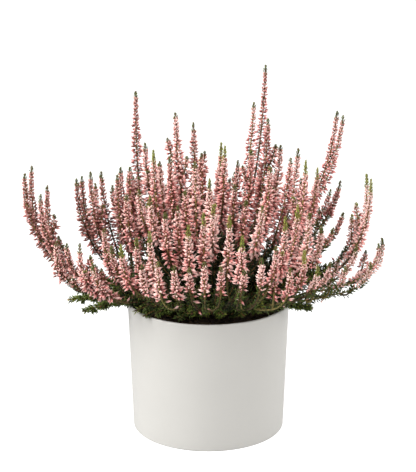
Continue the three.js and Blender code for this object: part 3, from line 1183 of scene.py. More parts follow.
@dataclass
class Shapes:
    """The floret, the closed bud and the leaves, each modelled once.

    A shape's rings are given by their width, as a share of its radius, and by the share of its
    length at which they lie.

    Attributes:
        floret_length: a floret's length.
        floret_radius: its greatest radius.
        floret_rings: its rings.
        bud_length: a closed bud's length.
        bud_radius: its greatest radius.
        bud_rings: its rings.
        leaf_length: a leaf's length.
        leaf_radius: its greatest radius.
        leaf_rings: its rings.
        tip_leaf: the length of a leaf of the green tips, as a share of a stem leaf's.
        tip_leaf_flat: its thickness, as a share of its width.
        floret: the floret.
        bud: the closed bud.
        needle: the leaf of stems, and the bract.
        scale: the leaf of the green tips.
    """

    floret_length: float = 6.0 * MM
    floret_radius: float = 1.0 * MM
    floret_rings: tuple[tuple[float, float], ...] = ((0.36, 0.15), (1.0, 0.52))
    bud_length: float = 4.2 * MM
    bud_radius: float = 0.9 * MM
    bud_rings: tuple[tuple[float, float], ...] = ((1.0, 0.55),)
    leaf_length: float = 4.4 * MM
    leaf_radius: float = 0.62 * MM
    leaf_rings: tuple[tuple[float, float], ...] = ((1.0, 0.45),)
    tip_leaf: float = 0.62
    tip_leaf_flat: float = 0.6
    floret: Stamp = field(init=False)
    bud: Stamp = field(init=False)
    needle: Stamp = field(init=False)
    scale: Stamp = field(init=False)

    def __post_init__(self) -> None:
        """Model the shapes."""
        floret = self._spindle(self.floret_length, self.floret_radius, 4, self.floret_rings)
        bud = self._spindle(self.bud_length, self.bud_radius, 4, self.bud_rings)
        needle = self._spindle(self.leaf_length, self.leaf_radius, 3, self.leaf_rings)
        scale_length = self.tip_leaf * self.leaf_length
        scale = self._spindle(scale_length, self.leaf_radius, 4, self.leaf_rings)
        bmesh.ops.scale(scale, verts=scale.verts, vec=(self.tip_leaf_flat, 1.0, 1.0))
        self.floret, self.bud = Stamp(floret), Stamp(bud)
        self.needle, self.scale = Stamp(needle), Stamp(scale)

    @staticmethod
    def _spindle(
        length: float, radius: float, sides: int, rings: Sequence[tuple[float, float]]
    ) -> bmesh.types.BMesh:
        """A long closed form, pointed at both ends.

        Args:
            length: from root to tip.
            radius: its greatest radius.
            sides: how many sides it has.
            rings: the width of each ring as a share of the radius, and its share of the length.

        Returns:
            The form, standing on the origin.
        """
        between = [Vector((radius * width, 0.0, length * share)) for width, share in rings]
        return turned([Vector(), *between, UP * length], sides)


Copy = tuple[Stamp, Wear, Matrix, float]


class Batch:
    """Copies of small shapes, gathered by shape and finish until they are pressed."""

    def __init__(self) -> None:
        """Start with nothing."""
        self.copies: dict[tuple[Stamp, Wear], tuple[list[Matrix], list[float]]] = {}

    def add(self, copy: Copy) -> None:
        """Add one copy of a shape.

        Args:
            copy: the shape, its finish, where it goes and its tone.
        """
        stamp, wear, place, tint = copy
        places, tints = self.copies.setdefault((stamp, wear), ([], []))
        places.append(place)
        tints.append(tint)

    def press(self, growth: Growth) -> None:
        """Press every copy into a piece."""
        for (stamp, wear), (places, tints) in self.copies.items():
            growth.press(stamp, places, tints, wear.value)


@dataclass
class GreenTip:
    """The close green leaves at the tip of a flower spike.

    Attributes:
        length: its length on the least and on the greenest spike.
        most: the largest share of a spike's length that it takes.
        whorl: the way from one ring of leaves to the next.
        leaves: how many leaves a ring has.
        lap: how far down it starts, as a share of its length.
        clear: how far below the spike's end its last ring lies.
        seat: how far from the stem's axis the leaves' roots lie.
        lift: how far its leaves point up at its foot and at its end, in degrees.
        sway: how far their lift strays, in degrees.
        swing: how far they stray around the stem.
        size: the least and greatest size of a leaf.
        tint: the least and greatest tone of its leaves, before the greenness adds to it.
        greener: how much a full greenness adds to it.
    """

    length: tuple[float, float] = (5.5 * MM, 13 * MM)
    most: float = 0.16
    whorl: float = 1.1 * MM
    leaves: int = 4
    lap: float = 1.15
    clear: float = 1.2 * MM
    seat: float = 0.45 * MM
    lift: tuple[float, float] = (36.0, 70.0)
    sway: float = 10.0
    swing: float = 0.3
    size: tuple[float, float] = (0.75, 1.2)
    tint: tuple[float, float] = (0.36, 0.6)
    greener: float = 0.5

    def length_on(self, line: Line, green: float) -> float:
        """How long the tip is on a spike of a certain greenness."""
        return min(mix(*self.length, green), self.most * line.length)

    def grow(
        self, growth: Growth, line: Line, leaf: Stamp, green: float, rng: random.Random
    ) -> None:
        """Press the leaves.

        Args:
            growth: the piece that it becomes part of.
            line: the spike's line.
            leaf: the leaf to press.
            green: how green the spike is, from 0 to 1.
            rng: the draws.
        """
        tip = self.length_on(line, green)
        last = round(tip / self.whorl) - 1
        start = 1 - self.lap * tip / line.length
        end = 1 - self.clear / line.length
        spots = line.frames([mix(start, end, k / last) for k in range(last + 1)])
        places, tints = [], []
        for k, spot in enumerate(spots):
            rise = k / last
            # The tip swells a little in the middle and narrows to its end.
            wide = 0.95 + 0.25 * math.sin(math.pi * rise) - 0.3 * rise
            for j in range(self.leaves):
                angle = k * GOLDEN_ANGLE + math.tau * j / self.leaves
                angle += rng.uniform(-self.swing, self.swing)
                size = wide * rng.uniform(*self.size)
                lift = mix(*self.lift, rise) + rng.uniform(-self.sway, self.sway)
                places.append(tilt(spot, angle, lift, self.seat, size))
                tint = rng.uniform(*self.tint)
                tints.append(min(1.0, tint + self.greener * green * rng.uniform(0.6, 1.1)))
        growth.press(leaf, places, tints, Wear.LEAF.value)


@dataclass
class Spike:
    """How one flower spike is dressed.

    Tints run from 0, dull, to 1, pale. A share of 0 lies at the spike's foot, and a share of 1
    where its green tip starts.

    Attributes:
        shapes: the shapes to press.
        tip: the green tip.
        stem: the stem's radius at its foot and at its end.
        stem_tint: the stem's least and greatest tint.
        greenness: how much less and how much more green than planned a spike can be.
        first: how far up the lowest floret sits.
        spacing: the way from one floret to the next at the foot and at the top.
        spacing_spread: the least and greatest factor by which it varies.
        tier: the way from one ring to the next where the upper florets gather in rings.
        tier_spread: how far a floret strays from its ring.
        gathering: the share from which the florets gather, how fast, and how closely at most.
        seat: how far from the stem's axis a floret's root lies.
        leaf_seat: the same for a leaf or bract.
        lift: how far florets point up at the foot, in the middle and at the top, in degrees.
        middle: the share at which the middle's lift is reached.
        swing: how far a floret strays around the stem.
        sway: how far its lift strays, in degrees.
        closed: the shares from which some are closed buds and at which all are.
        floret_size: a floret's size at the foot, its greatest, and its size at the top.
        floret_slope: how fast the size grows from the foot, and from the top downwards.
        floret_spread: the least and greatest factor by which it varies.
        bud_size: the size of the buds at the foot and at the top.
        bud_spread: the least and greatest factor by which it varies.
        mood: the middle tint of its florets.
        moods: how far spikes differ from each other in it.
        tints: how far the florets of one spike differ.
        deepest: the share at which their colour is deepest.
        paling: how fast it pales up and down from there.
        dimming: how much duller and darker the florets of a spray are at a full fade_and_shade; the
            darkening of sprays deeper in the plant is painted shade.
        mauve: how fast the share of florets with the buds' finish grows with a spray's
            fade_and_shade.
        bracts: the share of florets with a bract beside them.
        green_bracts: the share of bracts that are green.
        bract_turn: how far around the stem from its floret a bract stands.
        bract_lift: how far bracts point up at the foot and at the top, in degrees.
        bract_sway: how far their lift strays, in degrees.
        bract_size: the least and greatest size of a bract.
        bract_tint: the least and greatest tint of a brown one at the foot.
        green_tint: the least and greatest tint of a green one.
        leaves: the share of spots below the flowers that have a leaf.
        leaf_lift: how far these point up, least and most, in degrees.
        leaf_size: their least and greatest size.
        leaf_tint: their least and greatest tint.
        stray: the least chance that a spot is in flower.
        change: over how many millimetres of height leaves give way to flowers.
        underside: how much further up leaves reach on the side that looks down.
    """

    shapes: Shapes
    tip: GreenTip = field(default_factory=GreenTip)
    stem: tuple[float, float] = (1.0 * MM, 0.5 * MM)
    stem_tint: tuple[float, float] = (0.35, 1.0)
    greenness: tuple[float, float] = (-0.25, 0.15)
    first: float = 0.5 * MM
    spacing: tuple[float, float] = (1.4 * MM, 0.135 * MM)
    spacing_spread: tuple[float, float] = (0.5, 1.5)
    tier: float = 2.9 * MM
    tier_spread: float = 0.3 * MM
    gathering: tuple[float, float, float] = (0.4, 2.0, 0.5)
    seat: float = 0.6 * MM
    leaf_seat: float = 0.4 * MM
    lift: tuple[float, float, float] = (-40.0, -8.0, 54.0)
    middle: float = 0.45
    swing: float = 0.45
    sway: float = 20.0
    closed: tuple[float, float] = (0.6, 1.0)
    floret_size: tuple[float, float, float] = (0.9, 1.1, 0.48)
    floret_slope: tuple[float, float] = (0.7, 1.5)
    floret_spread: tuple[float, float] = (0.74, 1.22)
    bud_size: tuple[float, float] = (1.68, 0.68)
    bud_spread: tuple[float, float] = (0.75, 1.25)
    mood: float = 0.66
    moods: float = 0.26
    tints: float = 0.24
    deepest: float = 0.4
    paling: float = 0.35
    dimming: float = 0.6
    mauve: float = 1.5
    bracts: float = 0.75
    green_bracts: float = 0.2
    bract_turn: float = 1.7
    bract_lift: tuple[float, float] = (15.0, 50.0)
    bract_sway: float = 15.0
    bract_size: tuple[float, float] = (0.5, 0.85)
    bract_tint: tuple[float, float] = (0.0, 0.8)
    green_tint: tuple[float, float] = (0.2, 0.9)
    leaves: float = 0.85
    leaf_lift: tuple[float, float] = (25.0, 50.0)
    leaf_size: tuple[float, float] = (0.75, 1.15)
    leaf_tint: tuple[float, float] = (0.1, 0.7)
    stray: float = 0.02
    change: float = 10.0
    underside: float = 1.8

    def grow(self, growth: Growth, line: Line, plan: SprayPlan, rng: random.Random) -> None:
        """Dress a spike with its stem, florets, leaves and green tip.

        Args:
            growth: the piece that it becomes part of.
            line: the spike's line.
            plan: the spray's plan.
            rng: the draws.
        """
        # The stem is darker on the duller, more shaded sprays: partly painted shade.
        tone = max(0.0, rng.uniform(*self.stem_tint) - 0.5 * max(0.0, plan.fade_and_shade))
        bark = Wear.BARK.value
        growth.sweep(line, lambda share: mix(*self.stem, share), 14, bark, tone, sides=5)
        green = clamp(plan.green + rng.uniform(*self.greenness))
        flowered = line.length - self.tip.length_on(line, green)
        self._florets(line, plan, flowered, rng).press(growth)
        self.tip.grow(growth, line, self.shapes.scale, green, rng)

    def _shares(self, line: Line, flowered: float, rng: random.Random) -> list[float]:
        """Where the florets sit, closer and in looser rings towards the top.

        Args:
            line: the spike's line.
            flowered: the length of it that florets cover.
            rng: the draws.

        Returns:
            Their shares of the line's length, from the lowest up.
        """
        start, speed, closest = self.gathering
        shares = []
        reached = self.first
        while reached < flowered:
            share = reached / flowered
            ring = round(reached / self.tier) * self.tier + rng.gauss(0.0, self.tier_spread)
            gathered = clamp(speed * (share - start), closest)
            shares.append(min(mix(reached, ring, gathered), flowered) / line.length)
            reached += mix(*self.spacing, math.sqrt(share)) * rng.uniform(*self.spacing_spread)
        return sorted(shares)

    def _lift_at(self, share: float) -> float:
        """How far a floret points up the stem.

        Args:
            share: its share of the flowered length.

        Returns:
            The lift in degrees.
        """
        low, middle, high = self.lift
        if share < self.middle:
            return mix(low, middle, share / self.middle)
        return mix(middle, high, (share - self.middle) / (1 - self.middle))

    def _size_at(self, share: float) -> float:
        """How large an open floret is, before it varies.

        Args:
            share: its share of the flowered length.

        Returns:
            Its size.
        """
        foot, most, top = self.floret_size
        rising, falling = self.floret_slope
        return min(most, foot + rising * share, top + falling * (1 - share))

    def _chance(self, spot: Matrix, angle: float, leafy: float) -> float:
        """The chance that a spot on the stem is in flower and not in leaf.

        Args:
            spot: the stem's turned place there.
            angle: the direction around the stem.
            leafy: the height below which leaves prevail, in millimetres.

        Returns:
            The chance.
        """
        risen = (spot.translation.z / MM - leafy) / self.change
        outward = spot.to_3x3() @ Vector((math.cos(angle), math.sin(angle), 0.0))
        # The underside keeps its leaves further up, but not far above the leafy height.
        risen += self.underside * min(0.0, outward.z + 0.2) * max(0.0, 1 - 0.4 * risen)
        return max(self.stray, 0.5 + risen)

    def _florets(
        self, line: Line, plan: SprayPlan, flowered: float, rng: random.Random
    ) -> Batch:
        """Gather the florets in a loose spiral, closed buds above, with bracts between them.

        Args:
            line: the spike's line.
            plan: the spray's plan.
            flowered: the length of the line that florets cover.
            rng: the draws.

        Returns:
            The florets, bracts and leaves.
        """
        batch = Batch()
        shares = self._shares(line, flowered, rng)
        mood = self.mood + rng.uniform(-self.moods, self.moods)
        turn = rng.uniform(0.0, math.tau)
        for spot, reach in zip(line.frames(shares), shares):
            share = reach * line.length / flowered
            turn += GOLDEN_ANGLE
            angle = turn + rng.uniform(-self.swing, self.swing)
            lift = self._lift_at(share) + rng.uniform(-self.sway, self.sway)
            if rng.random() <= self._chance(spot, angle, plan.leafy):
                batch.add(self._floret(spot, angle, lift, share, mood, plan, rng))
                # Bracts show more on duller, more shaded sprays, and less towards the top.
                if rng.random() < self.bracts * (1.0 + plan.fade_and_shade) * (1.2 - 0.75 * share):
                    batch.add(self._bract(spot, angle, share, plan.fade_and_shade, rng))
            elif rng.random() < self.leaves:
                lift, size = rng.uniform(*self.leaf_lift), rng.uniform(*self.leaf_size)
                place = tilt(spot, angle, lift, self.leaf_seat, size)
                tint = rng.uniform(*self.leaf_tint)
                batch.add((self.shapes.needle, Wear.LEAF, place, tint))
        return batch

    def _floret(
        self,
        spot: Matrix,
        angle: float,
        lift: float,
        share: float,
        mood: float,
        plan: SprayPlan,
        rng: random.Random,
    ) -> Copy:
        """A floret, or a closed bud.

        Args:
            spot: the stem's turned place there.
            angle: the direction around the stem.
            lift: how far it points up, in degrees.
            share: its share of the flowered length.
            mood: the spike's middle tint.
            plan: the spray's plan.
            rng: the draws.

        Returns:
            The copy to press.
        """
        tint = rng.gauss(mood, self.tints) + self.paling * abs(share - self.deepest)
        # Duller, darker florets on the sprays deeper in the plant are partly painted shade.
        tint = clamp(tint - self.dimming * plan.fade_and_shade)
        start, end = self.closed
        if rng.random() < (share - start) / (end - start):
            size = plan.full * mix(*self.bud_size, share) * rng.uniform(*self.bud_spread)
            return self.shapes.bud, Wear.BUD, tilt(spot, angle, lift, self.seat, size), tint
        size = plan.full * self._size_at(share) * rng.uniform(*self.floret_spread)
        wear = Wear.BUD if rng.random() < self.mauve * plan.fade_and_shade else Wear.FLORET
        return self.shapes.floret, wear, tilt(spot, angle, lift, self.seat, size), tint

    def _bract(
        self, spot: Matrix, angle: float, share: float, fade_and_shade: float, rng: random.Random
    ) -> Copy:
        """A bract beside a floret.

        Args:
            spot: the stem's turned place there.
            angle: the floret's direction around the stem.
            share: its share of the flowered length.
            fade_and_shade: how faded and shaded the spray is; the shade is painted.
            rng: the draws.

        Returns:
            The copy to press.
        """
        lift = mix(*self.bract_lift, share) + rng.uniform(-self.bract_sway, self.bract_sway)
        size = rng.uniform(*self.bract_size)
        place = tilt(spot, angle + self.bract_turn, lift, self.leaf_seat, size)
        if rng.random() < self.green_bracts + 0.3 * max(0.0, fade_and_shade):
            return self.shapes.needle, Wear.LEAF, place, rng.uniform(*self.green_tint)
        # Brown ones are paler towards the top.
        pale = min(1.0, rng.uniform(*self.bract_tint) + 0.4 * max(0.0, share - 0.4))
        return self.shapes.needle, Wear.BRACT, place, pale


@dataclass
class LeafyStem:
    """How a twig or shoot is dressed with leaves and with short side shoots.

    Attributes:
        leaf: the leaf to press.
        keep: tells whether a leaf's tip may lie at a place.
        whorl: the way from one ring of leaves to the next.
        leaves: how many leaves a ring has.
        bare: the share of the stem that has none, at its foot.
        seat: how far from the stem's axis the leaves' roots lie.
        radius: the stem's radius at its foot and at its end.
        step: the length of the straight steps that it is drawn with.
        stem_tint: the stem's least and greatest tint.
        sides: how many side shoots it has.
        side_radius: a side shoot's radius at its foot and at its end.
        side_length: the least and greatest length of a side shoot.
        side_from: the share of the stem from which and up to which they stand.
        size: the leaves' size.
        spread: the least and greatest factor by which it varies.
        lift: how far leaves point up at the foot and at the end, in degrees.
        sway: how far their lift strays, in degrees.
        swing: how far they stray around the stem.
    """

    leaf: Stamp
    keep: Callable[[Vector], bool]
    whorl: float = 2.4 * MM
    leaves: int = 5
    bare: float = 0.1
    seat: float = 0.4 * MM
    radius: tuple[float, float] = (1.1 * MM, 0.5 * MM)
    step: float = 8 * MM
    stem_tint: tuple[float, float] = (0.1, 0.7)
    sides: int = 0
    side_radius: tuple[float, float] = (0.6 * MM, 0.4 * MM)
    side_length: tuple[float, float] = (12 * MM, 22 * MM)
    side_from: tuple[float, float] = (0.25, 0.92)
    size: float = 1.0
    spread: tuple[float, float] = (0.75, 1.2)
    lift: tuple[float, float] = (30.0, 66.0)
    sway: float = 14.0
    swing: float = 0.3

    def grow(
        self, growth: Growth, line: Line, rng: random.Random, fresh: tuple[float, float]
    ) -> None:
        """Dress a stem.

        Args:
            growth: the piece that it becomes part of.
            line: the stem's line.
            rng: the draws.
            fresh: the darkest and brightest tint of its leaves.
        """
        steps = max(4, round(line.length / self.step))
        tone, bark = rng.uniform(*self.stem_tint), Wear.BARK.value
        growth.sweep(line, lambda share: mix(*self.radius, share), steps, bark, tone, sides=5)
        self._leaves(growth, line, rng, fresh)
        for side in self._side_lines(line, rng):
            growth.sweep(side, lambda share: mix(*self.side_radius, share), 3, bark, tone, sides=4)
            self._leaves(growth, side, rng, fresh)

    def _leaves(
        self, growth: Growth, line: Line, rng: random.Random, fresh: tuple[float, float]
    ) -> None:
        """Press the leaves along a line.

        Args:
            growth: the piece that they become part of.
            line: the line.
            rng: the draws.
            fresh: the leaves' darkest and brightest tint.
        """
        count = max(3, round((1 - self.bare) * line.length / self.whorl))
        # The last ring lies a little more than half a leaf's length below the end.
        end = 1.0 - 0.6 * self.leaf.height / line.length
        shares = [mix(self.bare, end, (k + 0.5) / count) for k in range(count)]
        places, tints = [], []
        for k, (share, spot) in enumerate(zip(shares, line.frames(shares))):
            for j in range(self.leaves):
                angle = k * GOLDEN_ANGLE + math.tau * j / self.leaves
                angle += rng.uniform(-self.swing, self.swing)
                lift = mix(*self.lift, share) + rng.uniform(-self.sway, self.sway)
                size = self.size * mix(1.1, 0.8, share) * rng.uniform(*self.spread)
                drop = Matrix.Translation((0.0, 0.0, rng.uniform(-0.5, 0.5) * self.whorl))
                place = tilt(spot @ drop, angle, lift, self.seat, size)
                if self.keep(place @ (UP * self.leaf.height)):
                    places.append(place)
                    tints.append(mix(*fresh, rng.random() * mix(0.5, 1.0, share)))
        growth.press(self.leaf, places, tints, Wear.LEAF.value)

    def _side_lines(self, line: Line, rng: random.Random) -> list[Line]:
        """The lines of the short side shoots, which turn upwards.

        Args:
            line: the stem's line.
            rng: the draws.

        Returns:
            The lines, from the lowest up.
        """
        lines = []
        for number in range(self.sides):
            share = mix(*self.side_from, (number + rng.random()) / self.sides)
            spot = line.frames([share])[0]
            reach = mix(*self.side_length, rng.random()) * (1.15 - 0.8 * share)
            swing = Matrix.Rotation(number * GOLDEN_ANGLE + rng.random(), 4, "Z")
            start = spot.translation
            # It leaves the stem aslant, and then turns up.
            out = (spot @ swing) @ Vector((0.62, 0.0, 0.78)) - start
            bend = start + out * 0.55 * reach
            lines.append(Line.bezier((start, bend, start + out * reach + UP * 0.25 * reach), 8))
        return lines


@dataclass
class FlowerSprays:
    """The flower sprays, one piece for each.

    Attributes:
        habit: how the heather grows.
        spike: how a spike is dressed.
        short: the least and greatest length of a short spike.
        short_from: the share of the leading spike from which and up to which they stand.
        draws: the number from which the sprays' draws are numbered.
    """

    habit: Habit
    spike: Spike
    short: tuple[float, float] = (17 * MM, 29 * MM)
    short_from: tuple[float, float] = (0.1, 0.62)
    draws: int = 900

    def _short_spikes(self, spray: Spray, rng: random.Random) -> list[Line]:
        """The lines of the short spikes that stand on a spray's leading one.

        Args:
            spray: the spray.
            rng: the draws.

        Returns:
            The lines, from the lowest up.
        """
        lead, lines = spray.spikes[0], []
        for number in range(spray.plan.bushy):
            share = mix(*self.short_from, (number + rng.random()) / spray.plan.bushy)
            start, along = lead.at(share), lead.heading(share)
            across = Matrix.Rotation(rng.uniform(0, math.tau), 3, along) @ along.orthogonal()
            across.normalize()
            reach = rng.uniform(*self.short) * (1.1 - 0.6 * share)
            # It leaves the leading spike aslant, and then runs up beside it.
            bend = start + 0.3 * reach * (along + across)
            end = bend + reach * (0.2 * along + 0.7 * UP + 0.12 * across)
            lines.append(Line.bezier((start, bend, end), 16))
        return lines

    def build(self, materials: Sequence[bpy.types.Material]) -> None:
        """Make every spray.

        Args:
            materials: bark, leaf, floret, bract and bud.
        """
        for number, spray in enumerate(self.habit.sprays, start=1):
            rng = random.Random(self.draws + number)
            growth = Growth()
            for line in [*spray.spikes, *self._short_spikes(spray, rng)]:
                self.spike.grow(growth, line, spray.plan, rng)
            piece = growth.piece(f"heather_spray_{number:02d}", materials)
            hand_over(piece, Slot.BLOOM, f"flower_spray_{number:02d}")


@dataclass(frozen=True)
class SkirtReach:
    """How far out the leafy tufts around the rim reach, in millimetres.

    Attributes:
        least: the least reach.
        most: the furthest reach to the sides, before more_beside adds to it.
        less_in_front: how much less it is in front.
        less_behind: how much less it is behind.
        more_beside: how much more it is to the left and right.
    """

    least: float = 44.0
    most: float = 106.0
    less_in_front: float = 44.0
    less_behind: float = 22.0
    more_beside: float = 10.0

    def furthest(self, front: float, right: float) -> float:
        """How far they reach in a direction.

        Args:
            front: how much it points to the front, from -1 to 1.
            right: how much it points to the right, from -1 to 1.

        Returns:
            The furthest reach.
        """
        less = self.less_in_front * front**0.6 if front > 0 else -self.less_behind * front
        return self.most - less + self.more_beside * abs(right)


@dataclass
class Shrub:
    """Crown, limbs, leafy twigs and shoots.

    Attributes:
        habit: how the heather grows.
        leaf: the leaf of every twig and shoot.
        rim_radius: the radius of the pot's rim outside.
        rim_height: the height of its lip.
        soil_top: the height of the soil's edge.
        clear_of_pot: how far leaves keep over, outside and inside the pot's wall.
        undergrowth: how many leafy shoots fill the shrub's middle.
        low_reach: how far out they reach.
        low_foot: the least height of their tips.
        dome: the greatest height of their tips, in the middle and furthest out.
        tufts: how many leafy shoots lie around the rim.
        skirt_reach: how far out these reach.
        skirt_height: how far over the rim their tips lie, least and most, in millimetres.
        hang_from: the distance from the middle beyond which they rise or hang.
        rise: how steeply they rise on the right.
        hang: how steeply they hang on the left.
        yellow: the share of them that are a fresh yellow-green.
        highest_start: the greatest share of a limb's length at which a shoot leaves it.
        crown: the crown's radius at its foot and at its top.
        crown_depth: how far the crown reaches down below the soil's edge.
        limb: a limb's radius at its foot and at its end.
    """

    habit: Habit
    leaf: Stamp
    rim_radius: float
    rim_height: float
    soil_top: float
    clear_of_pot: tuple[float, float, float] = (0.5 * MM, 1 * MM, 5 * MM)
    undergrowth: int = 170
    low_reach: float = 80 * MM
    low_foot: float = 128 * MM
    dome: tuple[float, float] = (205 * MM, 142 * MM)
    tufts: int = 132
    skirt_reach: SkirtReach = SkirtReach()
    skirt_height: tuple[float, float] = (2.0, 13.0)
    hang_from: float = 74 * MM
    rise: float = 0.45
    hang: float = 0.3
    yellow: float = 0.45
    highest_start: float = 0.95
    crown: tuple[float, float] = (7.475 * MM, 4.225 * MM)
    crown_depth: float = 8 * MM
    limb: tuple[float, float] = (2.6 * MM, 1.2 * MM)

    def _stem(self, **ways: object) -> LeafyStem:
        """A kind of twig or shoot, whose leaves keep clear of the pot and the soil."""
        return LeafyStem(self.leaf, self._keep, **ways)

    def _keep(self, place: Vector) -> bool:
        """Whether a leaf may lie at a place, clear of the pot's wall and of the soil.

        Args:
            place: where its tip lies.

        Returns:
            True if it may.
        """
        over, outside, inside = self.clear_of_pot
        out = math.hypot(place.x, place.y)
        if place.z > self.rim_height + over or out > self.rim_radius + outside:
            return True
        return out < self.rim_radius - inside and place.z > self.soil_top

    def _from_limb(self, end: Vector, lowest: float, rng: random.Random) -> Vector:
        """Where a shoot leaves the limb that ends nearest to its tip.

        Args:
            end: the shoot's tip.
            lowest: the least share of the limb's length at which it leaves.
            rng: the draws.

        Returns:
            The shoot's start.
        """
        limb = min(self.habit.limbs, key=lambda line: (line.points[-1] - end).length)
        return limb.at(rng.uniform(lowest, self.highest_start))

    def _low_line(self, number: int, rng: random.Random) -> Line:
        """The line of one of the leafy shoots that fill the shrub's middle.

        Args:
            number: which one it is.
            rng: the draws.

        Returns:
            The line.
        """
        angle = number * GOLDEN_ANGLE
        out = self.low_reach * math.sqrt((number + 0.5) / self.undergrowth)
        end = Vector((math.cos(angle) * out, math.sin(angle) * out, 0.0))
        highest = mix(*self.dome, (out / self.low_reach) ** 2)
        end.z = mix(self.low_foot, highest, rng.random() ** 0.7)
        start = self._from_limb(end, 0.5, rng)
        # It runs outwards first, and then up.
        bend = Vector((0.85 * end.x, 0.85 * end.y, mix(start.z, end.z, 0.3)))
        return Line.bezier((start, start.lerp(bend, 0.5), bend, end), 20)

    def _skirt_line(self, number: int, rng: random.Random) -> Line:
        """The line of one of the leafy shoots that lie low around the rim.

        Args:
            number: which one it is.
            rng: the draws.

        Returns:
            The line.
        """
        angle = number * GOLDEN_ANGLE
        front, right = -math.sin(angle), math.cos(angle)
        furthest = self.skirt_reach.furthest(front, right)
        out = rng.uniform(self.skirt_reach.least, furthest) * MM
        end = Vector((math.cos(angle) * out, math.sin(angle) * out, 0.0))
        end.z = self.rim_height + rng.uniform(*self.skirt_height) * MM
        slope = self.rise if right > 0 else self.hang
        end.z += slope * right * max(0.0, out - self.hang_from)
        start = self._from_limb(end, 0.6, rng)
        # It arches over the soil.
        bend = Vector((0.75 * end.x, 0.75 * end.y, max(start.z, end.z) + 3 * MM))
        return Line.bezier((start, start.lerp(bend, 0.5), bend, end), 20)

    def build(self, materials: Sequence[bpy.types.Material]) -> None:
        """Make the shrub's pieces.

        Args:
            materials: bark, leaf, floret, bract and bud.
        """

        def done(name: str, growth: Growth) -> None:
            """Hand over one of the shrub's pieces."""
            hand_over(growth.piece(name, materials), Slot.SHRUB, "leafy_shrub")

        rng = random.Random(57)
        bark = Wear.BARK.value
        wood = Growth()
        stump = Line([UP * (self.soil_top - self.crown_depth), UP * self.habit.crown_top])
        wood.sweep(stump, lambda share: mix(*self.crown, share), 4, bark, tint=0.1, sides=10)
        for limb in self.habit.limbs:
            tone = rng.uniform(0, 0.4)
            wood.sweep(limb, lambda share: mix(*self.limb, share), 6, bark, tone, sides=6)
        done("heather_crown", wood)

        twigs, twig = Growth(), self._stem(sides=4)
        for spray in self.habit.sprays:
            twig.grow(twigs, spray.twig, rng, fresh=(0.05, 0.5))
        done("heather_leafy_twigs", twigs)

        shoots = Growth()
        shoot = self._stem(whorl=1.2 * MM, leaves=7, sides=10, size=1.15, lift=(10.0, 40.0))
        for line in self.habit.shoots:
            shoot.grow(shoots, line, rng, fresh=(0.3, 0.95))
        done("heather_rim_shoots", shoots)

        low, filler = Growth(), self._stem(sides=1, size=1.15)
        for number in range(self.undergrowth):
            filler.grow(low, self._low_line(number, rng), rng, fresh=(0.0, 0.3))
        done("heather_low_shoots", low)

        skirt = Growth()
        tuft = self._stem(
            leaves=6, sides=2, side_length=(8 * MM, 16 * MM), size=1.25, lift=(15.0, 50.0)
        )
        for number in range(self.tufts):
            line = self._skirt_line(number, rng)
            fresh = (0.5, 1.0) if rng.random() < self.yellow else (0.15, 0.75)
            tuft.grow(skirt, line, rng, fresh)
        done("heather_skirt", skirt)


# ------------------------------------------------------------------ the pot and its soil


def arc(
    middle_out: float, middle_up: float, radius: float, turn: tuple[float, float], steps: int
) -> list[Vector]:
    """Points on an arc of a profile.

    Args:
        middle_out: the distance of the arc's middle from the axis.
        middle_up: the height of its middle.
        radius: its radius.
        turn: its first and last direction, in degrees up from straight out.
        steps: how many steps it has.

    Returns:
        The points, with both ends.
    """
    points = []
    for step in range(steps + 1):
        angle = math.radians(mix(*turn, step / steps))
        out = middle_out + radius * math.cos(angle)
        points.append(Vector((out, 0.0, middle_up + radius * math.sin(angle))))
    return points


@dataclass
class Pot:
    """The pot, turned from its profile.

    Attributes:
        low: the lowest corner of its solid's box.
        high: the highest corner of its solid's box.
        taper: how much less its radius is at the base than at the lip.
        wall: the thickness of its wall.
        floor: the thickness of its base.
        foot: the radius of the round edge under its foot.
        turns: how many sides it has.
    """

    low: Vector
    high: Vector
    taper: float = 4 * MM
    wall: float = 3 * MM
    floor: float = 4 * MM
    foot: float = 1.2 * MM
    turns: int = 128

    @property
    def rim_radius(self) -> float:
        """The radius of the rim outside."""
        return self.high.x

    @property
    def height(self) -> float:
        """The height of the lip."""
        return self.high.z

    def radius_at(self, height: float) -> float:
        """The radius outside at a height."""
        return self.rim_radius - self.taper * (1 - height / self.height)

    def _side(self, start: float, end: float, steps: int, inset: float) -> list[Vector]:
        """Points on the pot's side, without both ends.

        Args:
            start: the height at which it starts.
            end: the height at which it ends.
            steps: how many steps it has.
            inset: how far it lies inside the pot's outer side.

        Returns:
            The points.
        """
        heights = [mix(start, end, step / steps) for step in range(1, steps)]
        return [Vector((self.radius_at(height) - inset, 0.0, height)) for height in heights]

    def _profile(self) -> list[Vector]:
        """The profile from the middle of the base, up outside, over the lip and down inside.

        Returns:
            The profile's corners.
        """
        lip = self.wall / 2
        lip_height = self.height - lip
        bottom = self.floor + self.wall
        return [
            Vector(),
            *arc(self.radius_at(0) - self.foot, self.foot, self.foot, (-90, 0), 6),
            *self._side(self.foot, lip_height, 12, 0.0),
            *arc(self.radius_at(lip_height) - lip, lip_height, lip, (0, 180), 12),
            *self._side(lip_height, bottom, 8, self.wall),
            *arc(self.radius_at(self.floor) - 2 * self.wall, bottom, self.wall, (0, -90), 6),
            UP * self.floor,
        ]

    def build(self, material: bpy.types.Material) -> None:
        """Make the pot."""
        form = turned(self._profile(), self.turns)
        hand_over(from_form("white_pot", form, material), Slot.POT, "pot")


